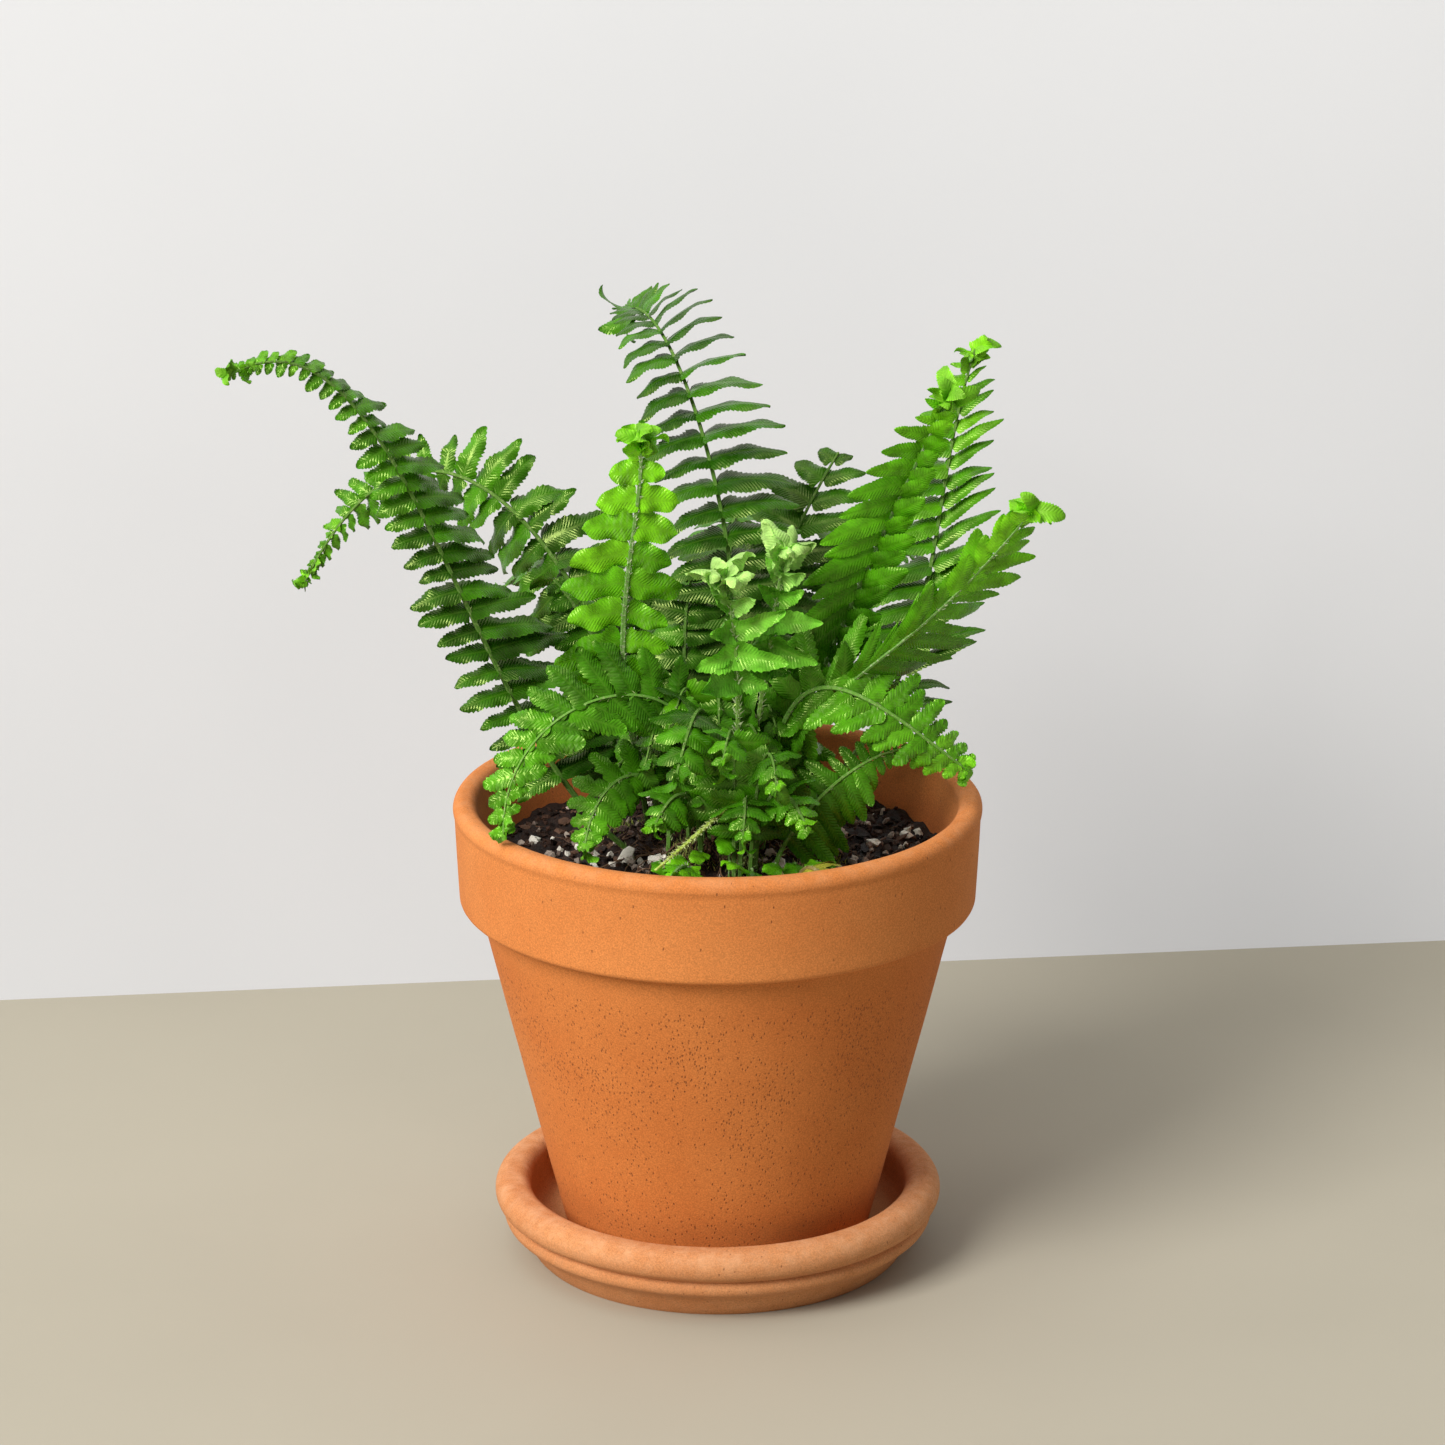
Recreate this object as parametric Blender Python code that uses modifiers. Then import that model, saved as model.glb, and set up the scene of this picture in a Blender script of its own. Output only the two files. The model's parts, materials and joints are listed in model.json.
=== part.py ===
"""Jester's crown fern in a terracotta pot that stands on its saucer.

Metres, +Z up. The origin is where the pot's axis meets the ground under the saucer. +Y points
away from the viewer and +X to the viewer's right.

The saucer, the pot, the soil and every frond are solids of their own. A frond is one closed
mesh: a four-sided rachis with one ring of corners for each pair of leaflets, and a thin arched
blade grown out of each side face between two rings. Stems stand in plain holes in the soil.
"""

from dataclasses import dataclass
import math

import bmesh
import bpy
import numpy as np
from mathutils import Matrix
from mathutils.bvhtree import BVHTree

# Clearance between pieces that touch, and the number of sides of what is turned.
GAP = 0.0003
SIDES = 40

# Pot: a straight taper under a tall collar with a rounded lip, and a drain hole in its floor.
RIM_RADIUS = 0.0650
RIM_HEIGHT = 0.1185
LIP_ROUND = 0.0027
WALL = 0.0057
COLLAR_BOTTOM = 0.0920
COLLAR_BOTTOM_RADIUS = 0.0637
COLLAR_ROUND = 0.0015
BODY_TOP_RADIUS = 0.0589
POT_BASE = 0.0073
POT_BASE_RADIUS = 0.0380
POT_FOOT_CHAMFER = 0.0010
POT_FLOOR = 0.0070
DRAIN_RADIUS = 0.0060

# Saucer: a thick rounded lip, a groove under it, a second ring, and sides that draw in.
SAUCER_RADIUS = 0.0558
SAUCER_HEIGHT = 0.0193
SAUCER_LIP_ROUND = 0.0040
SAUCER_LIP_INSIDE = 0.0470
SAUCER_INNER_ROUND = 0.0032
SAUCER_FILLET = 0.0035
SAUCER_FLOOR = POT_BASE - GAP
SAUCER_GROOVE = (0.0540, 0.0122)
SAUCER_RING_RADIUS = 0.0536
SAUCER_RING_HEIGHT = 0.0094
SAUCER_RING_ROUND = 0.0022
SAUCER_SIDE = (0.0500, 0.0058)
SAUCER_FOOT = 0.0460
SAUCER_FOOT_CHAMFER = 0.0008

# Soil: 15 mm under the rim, rising to a mound of stem bases at the crown.
SOIL_EDGE = 0.1030
SOIL_MOUND = 0.0100
MOUND_SPREAD = 0.0200
SOIL_RINGS = 8
SOIL_INNER_SHARE = 0.12
# Lumps: height, radians per metre along X and along Y, and the phases of their waves.
LUMP = (0.0007, 290.0, 260.0, 1.3, 0.4)
RIPPLE = (0.0005, 530.0, -410.0, 2.1)

# Stems: they stand in plain holes, with a short upright stub before they start to bend.
STEM_DEPTH = 0.0060
STUB_HEIGHT = 0.0010
STUB_RADIUS = 0.0011
STEM_RADIUS = 0.0010
TIP_RADIUS = 0.0004
STEM_CORNER = 0.8
HOLE_RADIUS = 0.0015
HOLE_SIDES = 6
HOLE_ABOVE = 0.0030
CURVE_STEPS = 240
BARE_RINGS = 3
SPENT_RINGS = 12

# Leaflets: blade thickness, the clearance that is kept round a blade, and the share of the room
# between two pairs that a blade may fill. Pairs stand closer towards the tip.
BLADE = 0.0006
GUARD = 0.0004
ROOM = 0.76
CROWDING = 1.18
# The lowest pair is this share of full length, which is reached at FULL_FROM along the pairs.
LOWEST_SHARE = 0.78
FULL_FROM = 0.22
TIP_SHORTENING = 0.86
TIP_LEAN = 22.0
# Sections of a leaflet: share of its length, then its half widths towards the frond's tip and
# towards the stem, as shares of its breadth. The first is the eared base, which on a short
# leaflet lies further out, so that it clears the rachis.
SECTIONS = ((0.20, 0.56, 0.44), (0.64, 0.42, 0.48))
EAR_DISTANCE = 0.0018
EAR_SHARE_MAX = 0.45
# Random spread: share of length, then degrees of lean, droop and twist.
LENGTH_SPREAD = 0.07
LEAN_SPREAD = 2.0
DROOP_SPREAD = 7.0
TWIST_SPREAD = 3.0
SEED = 11
# Where a leaflet that would touch something goes instead: degrees of fold, share of its length.
WAYS_CLEAR = ((0, 1.0), (9, 1.0), (-9, 1.0), (18, 1.0), (-18, 1.0), (28, 0.95), (-28, 0.95),
              (0, 0.75), (16, 0.75), (-16, 0.75), (32, 0.7), (-32, 0.7), (0, 0.5), (20, 0.5),
              (-20, 0.5))
NARROWEST = 0.7


def new_collection(name):
    collection = bpy.data.collections.new(name)
    bpy.context.scene.collection.children.link(collection)
    return collection


def make_material(name, color, roughness):
    material = bpy.data.materials.new(name)
    material.use_nodes = True
    shader = material.node_tree.nodes["Principled BSDF"]
    shader.inputs["Base Color"].default_value = (*color, 1.0)
    shader.inputs["Roughness"].default_value = roughness
    shader.inputs["Metallic"].default_value = 0.0
    return material


def add_object(name, mesh, material, collection):
    mesh.materials.append(material)
    piece = bpy.data.objects.new(name, mesh)
    collection.objects.link(piece)
    return piece


def arc(center_x, center_z, radius, start, end, count):
    """Points on a circle from angle start to end, in degrees, both ends included."""
    angles = np.radians(np.linspace(start, end, count))
    return [(center_x + radius * math.cos(a), center_z + radius * math.sin(a)) for a in angles]


def turned(name, profile, material, collection, closed):
    """Turn a profile in the XZ plane about the Z axis; a closed profile makes a ring."""
    mesh = bpy.data.meshes.new(name)
    count = len(profile)
    edges = [(i, i + 1) for i in range(count - 1)]
    if closed:
        edges.append((count - 1, 0))
    mesh.from_pydata([(x, 0.0, z) for x, z in profile], edges, [])
    piece = add_object(name, mesh, material, collection)
    screw = piece.modifiers.new("turn", "SCREW")
    screw.axis = "Z"
    screw.steps = SIDES
    screw.render_steps = SIDES
    screw.use_merge_vertices = True
    screw.merge_threshold = 0.00005
    return piece


def pot_wall_outside(z):
    """Outer radius of the pot's body: a straight taper from the base to the collar."""
    share = (z - POT_BASE) / (COLLAR_BOTTOM - POT_BASE)
    return POT_BASE_RADIUS + (BODY_TOP_RADIUS - POT_BASE_RADIUS) * share


def pot_wall_inside(z):
    """Inner radius of the pot: parallel to the body, and on up to the lip."""
    return pot_wall_outside(z) - WALL


def make_pot(material, collection):
    lip_center = RIM_HEIGHT - LIP_ROUND
    inside_top = pot_wall_inside(lip_center)
    foot_top = POT_BASE + POT_FOOT_CHAMFER
    profile = arc(RIM_RADIUS - LIP_ROUND, lip_center, LIP_ROUND, 90, 0, count=4)
    profile += arc(COLLAR_BOTTOM_RADIUS - COLLAR_ROUND, COLLAR_BOTTOM + COLLAR_ROUND,
                   COLLAR_ROUND, 0, -90, count=3)
    profile += [(pot_wall_outside(COLLAR_BOTTOM), COLLAR_BOTTOM),
                (pot_wall_outside(foot_top), foot_top),
                (POT_BASE_RADIUS - POT_FOOT_CHAMFER, POT_BASE),
                (DRAIN_RADIUS, POT_BASE),
                (DRAIN_RADIUS, POT_BASE + POT_FLOOR),
                (pot_wall_inside(POT_BASE + POT_FLOOR), POT_BASE + POT_FLOOR)]
    profile += arc(inside_top + LIP_ROUND, lip_center, LIP_ROUND, 180, 110, count=3)
    return turned("pot", profile, material, collection, closed=True)


def make_saucer(material, collection):
    lip_center = SAUCER_HEIGHT - SAUCER_LIP_ROUND
    profile = [(0.0, SAUCER_FLOOR)]
    profile += arc(SAUCER_LIP_INSIDE - SAUCER_FILLET, SAUCER_FLOOR + SAUCER_FILLET,
                   SAUCER_FILLET, -90, -10, count=3)
    profile += arc(SAUCER_LIP_INSIDE + SAUCER_INNER_ROUND, SAUCER_HEIGHT - SAUCER_INNER_ROUND,
                   SAUCER_INNER_ROUND, 180, 90, count=4)
    profile += arc(SAUCER_RADIUS - SAUCER_LIP_ROUND, lip_center, SAUCER_LIP_ROUND, 80, -30,
                   count=5)
    profile += [SAUCER_GROOVE]
    profile += arc(SAUCER_RING_RADIUS - SAUCER_RING_ROUND, SAUCER_RING_HEIGHT,
                   SAUCER_RING_ROUND, 50, -70, count=4)
    profile += [SAUCER_SIDE, (SAUCER_FOOT + SAUCER_FOOT_CHAMFER, SAUCER_FOOT_CHAMFER),
                (SAUCER_FOOT, 0.0), (0.0, 0.0)]
    return turned("saucer", profile, material, collection, closed=False)


def soil_height(x, y):
    """Height of the soil: the edge level, a low mound, and lumps made of crossing waves."""
    radius = np.hypot(x, y)
    mound = SOIL_MOUND * np.exp(-(radius / MOUND_SPREAD) ** 2)
    height, along_x, along_y, phase_x, phase_y = LUMP
    lumps = height * np.sin(along_x * x + phase_x) * np.sin(along_y * y + phase_y)
    height, along_x, along_y, phase = RIPPLE
    ripples = height * np.sin(along_x * x + along_y * y + phase)
    return SOIL_EDGE + mound + lumps + ripples


def make_soil(material, collection):
    """A filling that follows the pot's inside, with a lumpy top worked out by soil_height."""
    bottom = POT_BASE + POT_FLOOR + GAP
    angles = np.arange(SIDES) * 2.0 * math.pi / SIDES
    top_radius = pot_wall_inside(SOIL_EDGE) - GAP
    rings = []
    for share in np.linspace(1.0, SOIL_INNER_SHARE, SOIL_RINGS):
        x = top_radius * share * np.cos(angles)
        y = top_radius * share * np.sin(angles)
        z = soil_height(x, y) if share < 1.0 else np.full(SIDES, SOIL_EDGE)
        rings.append(np.column_stack([x, y, z]))
    base = pot_wall_inside(bottom) - GAP
    foot = np.column_stack([base * np.cos(angles), base * np.sin(angles), np.full(SIDES, bottom)])
    mesh = bpy.data.meshes.new("soil")
    grid = bmesh.new()
    loops = [[grid.verts.new(point) for point in ring] for ring in [foot] + rings]
    for lower, upper in zip(loops, loops[1:]):
        for i in range(SIDES):
            j = (i + 1) % SIDES
            grid.faces.new((lower[i], lower[j], upper[j], upper[i]))
    grid.faces.new(loops[-1])
    grid.faces.new(loops[0][::-1])
    bmesh.ops.triangulate(grid, faces=grid.faces)
    grid.to_mesh(mesh)
    grid.free()
    return add_object("soil", mesh, material, collection)


@dataclass
class Frond:
    """One frond: a Bezier rachis from root to tip, its leaflet pairs and how they are held.

    rise and arch are the curve's two handles. face and tip_face are where the upper side looks
    at the foot and at the tip. bare is the share of the rachis with no leaflets. lean, fold,
    droop and twist are in degrees: forward along the rachis, up out of the blade's plane,
    bent down along the leaflet, and turned about it.
    """
    name: str
    root: tuple
    rise: tuple
    arch: tuple
    tip: tuple
    pairs: int
    length: float
    breadth: float = 0.36
    bare: float = 0.25
    face: tuple = (0.0, -1.0, 0.3)
    tip_face: tuple = (0.0, -0.5, 0.8)
    lean: float = 14.0
    fold: float = 4.0
    droop: float = 22.0
    twist: float = -10.0
    tip_twist: float = -20.0
    taper: float = 2.0
    finish: str = "mature"


FRONDS = (
    Frond("frond_tall_back", (0.002, 0.010), (0.014, 0.009, 0.165), (-0.010, 0.010, 0.243),
          (-0.022, 0.066, 0.225), 19, 0.0215, breadth=0.40, bare=0.20, lean=14,
          face=(0.0, -1.0, 0.1), tip_face=(0.0, -0.6, 0.8), droop=12, twist=-12,
          tip_twist=-62, taper=2.8),
    Frond("frond_left_arch", (-0.022, -0.005), (-0.062, -0.013, 0.141),
          (-0.075, -0.020, 0.254), (-0.114, -0.036, 0.233), 21, 0.0205, breadth=0.40,
          bare=0.14, lean=14, face=(0.2, -1.0, 0.4), tip_face=(0.2, -0.5, 0.8), twist=-18,
          tip_twist=-35, taper=1.1),
    Frond("frond_young_front", (-0.011, -0.006), (-0.033, -0.014, 0.152),
          (-0.017, -0.029, 0.191), (-0.018, -0.024, 0.215), 9, 0.0150, breadth=0.56,
          bare=0.40, lean=12, face=(0.1, -1.0, 0.1), tip_face=(0.1, -1.0, 0.2), fold=8,
          droop=18, twist=-4, tip_twist=-8, taper=4.0, finish="young"),
    Frond("frond_right_rising", (0.010, 0.001), (0.024, -0.002, 0.147),
          (0.038, -0.012, 0.187), (0.055, -0.024, 0.226), 14, 0.0190, breadth=0.42,
          bare=0.30, lean=26, face=(0.35, -0.9, 0.3), tip_face=(0.35, -0.9, 0.4), fold=16,
          droop=14, twist=-25, tip_twist=-25, taper=2.6, finish="young"),
    Frond("frond_right_back", (0.018, 0.009), (0.059, 0.020, 0.141), (0.050, 0.032, 0.179),
          (0.064, 0.048, 0.219), 15, 0.0180, breadth=0.40, bare=0.26, lean=10,
          face=(0.1, -1.0, 0.2), tip_face=(0.0, -1.0, 0.3), droop=10, twist=-45,
          tip_twist=-45, taper=2.4),
    Frond("frond_far_right", (0.016, -0.005), (0.021, -0.012, 0.159),
          (0.036, -0.024, 0.147), (0.074, -0.036, 0.201), 14, 0.0175, breadth=0.40,
          bare=0.30, lean=30, face=(0.3, -0.9, -0.3), tip_face=(0.3, -0.9, -0.3), fold=25,
          twist=-20, tip_twist=-20, taper=2.6, finish="young"),
    Frond("frond_left_hanging", (-0.012, 0.008), (-0.029, 0.018, 0.173),
          (-0.070, 0.036, 0.229), (-0.104, 0.046, 0.159), 17, 0.0195, breadth=0.42,
          bare=0.16, face=(0.1, -1.0, 0.3), tip_face=(-0.3, -0.8, 0.4), twist=-30,
          tip_twist=-20, taper=1.1),
    Frond("frond_low_left", (-0.005, -0.010), (0.008, -0.014, 0.166),
          (-0.052, -0.032, 0.160), (-0.051, -0.040, 0.122), 14, 0.0145, breadth=0.42,
          bare=0.34, lean=18, face=(0.1, -0.8, 0.6), tip_face=(-0.5, -0.8, 0.3), taper=1.5),
    Frond("frond_low_right", (0.011, -0.011), (0.014, -0.016, 0.162), (0.036, -0.030, 0.160),
          (0.061, -0.014, 0.129), 15, 0.0155, breadth=0.36, bare=0.30, lean=20,
          face=(0.1, -0.9, 0.6), tip_face=(0.2, -0.9, 0.6), taper=2.0),
    Frond("frond_inside_right", (0.014, -0.018), (0.016, -0.020, 0.116),
          (0.030, -0.018, 0.133), (0.044, -0.012, 0.134), 9, 0.0140, breadth=0.40, bare=0.16,
          face=(0.1, -1.0, 0.3), tip_face=(0.1, -1.0, 0.3), lean=10, droop=30),
    Frond("frond_inside_left", (-0.012, -0.013), (-0.010, -0.016, 0.137),
          (-0.030, -0.018, 0.134), (-0.032, -0.029, 0.114), 8, 0.0095, breadth=0.60,
          bare=0.36, face=(0.0, -0.9, 0.5), tip_face=(-0.3, -0.9, 0.3), taper=2.4),
    Frond("frond_unrolling", (0.005, -0.006), (0.010, -0.018, 0.140), (0.012, -0.026, 0.160),
          (0.015, -0.024, 0.180), 5, 0.0130, breadth=0.5, bare=0.62, lean=30,
          face=(0.1, -1.0, 0.2), tip_face=(0.1, -1.0, 0.4), fold=28, droop=-20, taper=4.0,
          finish="pale"),
    Frond("frond_crozier", (0.001, -0.013), (0.006, -0.025, 0.135), (0.006, -0.031, 0.155),
          (0.002, -0.031, 0.174), 3, 0.0100, breadth=0.6, bare=0.70, lean=30,
          face=(0.1, -1.0, 0.2), tip_face=(0.1, -1.0, 0.4), fold=25, droop=-20, taper=4.0,
          finish="pale"),
    Frond("frond_middle_back", (-0.003, 0.006), (-0.008, 0.006, 0.135),
          (-0.010, 0.009, 0.155), (-0.006, 0.013, 0.172), 8, 0.0160, breadth=0.42, bare=0.2,
          twist=-30, tip_twist=-30),
    Frond("frond_behind_right", (0.007, 0.015), (0.004, 0.019, 0.146), (0.016, 0.028, 0.174),
          (0.030, 0.042, 0.194), 9, 0.0180, breadth=0.42, bare=0.3, face=(0.0, -1.0, 0.4)),
    Frond("frond_behind_left", (-0.017, 0.003), (-0.020, 0.005, 0.130),
          (-0.028, 0.008, 0.158), (-0.040, 0.011, 0.170), 9, 0.0160, breadth=0.42, bare=0.2,
          twist=-30),
    Frond("frond_low_middle", (-0.001, -0.005), (-0.002, -0.012, 0.150),
          (-0.004, -0.028, 0.158), (-0.010, -0.042, 0.136), 6, 0.0160, breadth=0.40,
          bare=0.32, face=(0.0, -0.6, 0.8), tip_face=(-0.1, -1.0, 0.4), droop=35),
    Frond("frond_low_front", (-0.004, -0.019), (-0.004, -0.022, 0.126),
          (-0.010, -0.028, 0.134), (-0.019, -0.034, 0.122), 5, 0.0130, breadth=0.46,
          bare=0.3, face=(0.0, -0.7, 0.7), tip_face=(-0.2, -0.9, 0.4), droop=35),
    Frond("frond_front_right", (0.009, -0.020), (0.010, -0.024, 0.127),
          (0.015, -0.033, 0.137), (0.021, -0.043, 0.125), 6, 0.0110, breadth=0.40, bare=0.30,
          face=(0.1, -0.7, 0.7), tip_face=(0.2, -0.9, 0.4), droop=35),
    Frond("frond_back_left", (-0.009, 0.014), (-0.016, 0.023, 0.158),
          (-0.036, 0.048, 0.184), (-0.056, 0.066, 0.150), 11, 0.0175, breadth=0.42, bare=0.3,
          face=(-0.4, 0.2, 1.0), tip_face=(-0.6, 0.5, 0.8)),
    Frond("frond_back", (0.000, 0.019), (0.002, 0.030, 0.164), (0.004, 0.060, 0.192),
          (0.007, 0.088, 0.158), 12, 0.0180, breadth=0.42, bare=0.3, face=(0.0, 0.2, 1.0),
          tip_face=(0.0, 0.6, 0.8)),
    Frond("frond_back_right", (0.014, 0.015), (0.018, 0.024, 0.160), (0.036, 0.052, 0.188),
          (0.054, 0.070, 0.156), 11, 0.0175, breadth=0.42, bare=0.3, face=(0.4, 0.2, 1.0),
          tip_face=(0.6, 0.5, 0.8)),
    Frond("frond_small_front", (-0.006, -0.028), (-0.006, -0.032, 0.111),
          (-0.008, -0.038, 0.115), (-0.011, -0.045, 0.113), 4, 0.0070, breadth=0.7, bare=0.3,
          face=(0.0, -0.5, 1.0), tip_face=(0.0, -0.6, 1.0), finish="young"),
    Frond("frond_yellowed", (0.019, -0.028), (0.020, -0.031, 0.111), (0.022, -0.036, 0.114),
          (0.026, -0.042, 0.111), 4, 0.0070, breadth=0.6, bare=0.3, face=(0.0, -0.5, 1.0),
          tip_face=(0.0, -0.6, 1.0), finish="yellow"),
    Frond("spent_stem", (0.006, -0.010), (0.009, -0.012, 0.128), (0.002, -0.036, 0.126),
          (-0.0145, -0.062, 0.1206), 0, 0.0, finish="pale"),
)


def unit(vector):
    vector = np.asarray(vector, dtype=float)
    return vector / np.linalg.norm(vector)


def rachis_curve(frond):
    """Points of the cubic Bezier from the stub to the tip, and their arc-length shares."""
    x, y = frond.root
    foot = (x, y, soil_height(x, y) + STUB_HEIGHT)
    t = np.linspace(0.0, 1.0, CURVE_STEPS + 1)[:, None]
    a, b, c, d = (np.array(p) for p in (foot, frond.rise, frond.arch, frond.tip))
    points = (1 - t) ** 3 * a + 3 * (1 - t) ** 2 * t * b + 3 * (1 - t) * t * t * c + t ** 3 * d
    steps = np.linalg.norm(np.diff(points, axis=0), axis=1)
    shares = np.concatenate([[0.0], np.cumsum(steps)]) / steps.sum()
    return points, shares


def rachis_frames(frond, at):
    """Position, tangent and upward normal of the rachis at each arc-length share."""
    points, shares = rachis_curve(frond)
    position = np.column_stack([np.interp(at, shares, points[:, k]) for k in range(3)])
    step = 0.5 / CURVE_STEPS
    ahead = [np.interp(np.minimum(at + step, 1.0), shares, points[:, k]) for k in range(3)]
    behind = [np.interp(np.maximum(at - step, 0.0), shares, points[:, k]) for k in range(3)]
    tangent = np.column_stack(ahead) - np.column_stack(behind)
    tangent /= np.linalg.norm(tangent, axis=1)[:, None]
    face = unit(frond.face) + at[:, None] * (unit(frond.tip_face) - unit(frond.face))
    normal = face - (face * tangent).sum(axis=1)[:, None] * tangent
    normal /= np.linalg.norm(normal, axis=1)[:, None]
    return position, tangent, normal


def pair_stations(frond):
    """Arc-length shares between which the leaflet pairs stand, closer towards the tip."""
    share = np.linspace(0.0, 1.0, frond.pairs + 1)
    return frond.bare + (1.0 - frond.bare) * (1.0 - (1.0 - share) ** CROWDING)


def leaflet_reach(frond, share):
    """Leaflet length: nearly full from the lowest pair on, then tapering to the tip."""
    start = LOWEST_SHARE + (1.0 - LOWEST_SHARE) * min(1.0, share / FULL_FROM)
    return frond.length * start * (1.0 - TIP_SHORTENING * share ** frond.taper)


def leaflet_line(base, frame, side, angles, reach, steps):
    """Centre line, forward direction and upper normal of a leaflet that bends as it goes."""
    tangent, normal = frame
    across = np.cross(tangent, normal) * side
    lean, fold, droop, twist = (math.radians(a) for a in angles)
    out = math.cos(lean) * (math.cos(fold) * across + math.sin(fold) * normal)
    out = unit(out + math.sin(lean) * tangent)
    width = unit(tangent - tangent.dot(out) * out)
    upper = np.cross(out, width) * side
    if upper.dot(normal) < 0:
        upper = -upper
    width, upper = (math.cos(twist) * width + math.sin(twist) * upper,
                    math.cos(twist) * upper - math.sin(twist) * width)
    line = [(base, width, upper)]
    place = base
    last = 0.0
    for step in steps:
        bend = droop * 0.5 * (step + last)
        ahead = math.cos(bend) * out - math.sin(bend) * upper
        place = place + ahead * reach * (step - last)
        here = droop * step
        line.append((place, width, math.cos(here) * upper + math.sin(here) * out))
        last = step
    return line


def blade_loops(line, breadth, thick, spread):
    """Corner loops of a blade: upper front, upper back, lower back, lower front."""
    loops = []
    for (share, front, back), (place, width, upper) in zip(SECTIONS, line[1:]):
        half = upper * thick / 2
        fore = place + width * (front * breadth + spread)
        aft = place - width * (back * breadth + spread)
        loops.append([fore + half, aft + half, aft - half, fore - half])
    place, width, upper = line[-1]
    loops.append([place + upper * thick / 2, place - upper * thick / 2])
    return loops


def loft(faces, lower, upper):
    """Triangles between two four-corner loops, split alike on the upper and lower face."""
    for a, b in ((0, 1), (3, 2)):
        faces.append((lower[a], lower[b], upper[b]))
        faces.append((lower[a], upper[b], upper[a]))
    for a, b in ((1, 2), (3, 0)):
        faces.append((lower[a], lower[b], upper[b]))
        faces.append((lower[a], upper[b], upper[a]))


def close_tip(faces, loop, tip):
    """Triangles from the last four-corner loop to the two points of the tip."""
    top, bottom = tip
    faces.append((loop[0], loop[1], top))
    faces.append((loop[3], loop[2], bottom))
    faces.append((loop[1], loop[2], bottom))
    faces.append((loop[1], bottom, top))
    faces.append((loop[3], loop[0], top))
    faces.append((loop[3], top, bottom))


def add_blade(points, faces, previous, loops):
    """Add a blade's loops to a mesh, joined to the four corners in previous if there are any."""
    for loop in loops:
        here = list(range(len(points), len(points) + len(loop)))
        points += [tuple(p) for p in loop]
        if previous and len(loop) == 4:
            loft(faces, previous, here)
        elif previous:
            close_tip(faces, previous, here)
        previous = here


def blade_shell(loops):
    """Points and triangles of a blade on its own, open at the first loop."""
    points = []
    faces = []
    add_blade(points, faces, None, loops)
    return points, faces


def stem_rings(frond, at):
    """Four corners round the rachis at each share: upper right, upper left, lower left, lower
    right, seen from the root with the upper side up."""
    position, tangent, normal = rachis_frames(frond, at)
    across = np.cross(tangent, normal)
    radius = STEM_CORNER * (STEM_RADIUS + (TIP_RADIUS - STEM_RADIUS) * at)[:, None]
    corners = [position + radius * (a * across + b * normal)
               for a, b in ((1, 1), (-1, 1), (-1, -1), (1, -1))]
    return np.stack(corners, axis=1)


def stem_mesh(frond):
    """Rings of the whole stem: an upright stub in the soil, the bare part, then the pairs."""
    if frond.pairs:
        bare = np.linspace(0.0, frond.bare, BARE_RINGS + 1)[:-1]
        at = np.concatenate([bare, pair_stations(frond)])
    else:
        at = np.linspace(0.0, 1.0, SPENT_RINGS)
    rings = stem_rings(frond, at)
    x, y = frond.root
    foot = rings[0].mean(axis=0)
    sunk = np.array([foot[0], foot[1], soil_height(x, y) - STEM_DEPTH])
    corners = rings[0] - foot
    corners[:, 2] = 0.0
    corners *= (STUB_RADIUS / np.linalg.norm(corners, axis=1))[:, None]
    return np.concatenate([[sunk + corners], [foot + corners], rings[1:]])


class Obstacles:
    """Triangles of everything that stands already, with a tree that finds what touches them."""

    def __init__(self):
        self.points = []
        self.faces = []
        self.tree = None

    def add(self, points, faces):
        offset = len(self.points)
        self.points += [tuple(p) for p in points]
        self.faces += [tuple(i + offset for i in face) for face in faces]
        self.tree = None

    def touches(self, loops):
        if not self.faces:
            return False
        if self.tree is None:
            self.tree = BVHTree.FromPolygons(self.points, self.faces)
        return bool(self.tree.overlap(BVHTree.FromPolygons(*blade_shell(loops))))


def stem_shell(frond):
    """The stem alone, as points and faces, for other fronds' leaflets to stay clear of."""
    rings = stem_mesh(frond)
    points = rings.reshape(-1, 3)
    faces = []
    for i in range(len(rings) - 1):
        for k in range(4):
            a, b = 4 * i + k, 4 * i + (k + 1) % 4
            faces.append((a, b, b + 4, a + 4))
    return points, faces


def grow(frond, obstacles, draw):
    """The frond's points and triangles, with every leaflet bent clear of the obstacles."""
    rings = stem_mesh(frond)
    points = [tuple(p) for p in rings.reshape(-1, 3)]
    faces = []
    own = Obstacles()
    stations = pair_stations(frond)
    mids = (stations[:-1] + stations[1:]) / 2
    _, tangents, normals = rachis_frames(frond, mids)
    first_pair = len(rings) - 1 - frond.pairs
    for i in range(len(rings) - 1):
        ring, above = 4 * i, 4 * (i + 1)
        for a, b in ((0, 1), (2, 3)):
            faces.append((ring + a, ring + b, above + b))
            faces.append((ring + a, above + b, above + a))
        for side, (low, high) in ((-1.0, (2, 1)), (1.0, (3, 0))):
            root = [above + high, ring + high, ring + low, above + low]
            pair = i - first_pair
            blade = None
            if pair >= 0:
                frame = (tangents[pair], normals[pair])
                blade = place_leaflet(frond, rings, root, frame, side, mids[pair],
                                      (obstacles, own), draw)
            if blade is None:
                faces.append((root[0], root[1], root[2]))
                faces.append((root[0], root[2], root[3]))
            else:
                own.add(*blade_shell(blade))
                add_blade(points, faces, root, blade)
    end = 4 * (len(rings) - 1)
    faces += [(0, 2, 1), (0, 3, 2), (end, end + 1, end + 2), (end, end + 2, end + 3)]
    return points, faces


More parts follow.
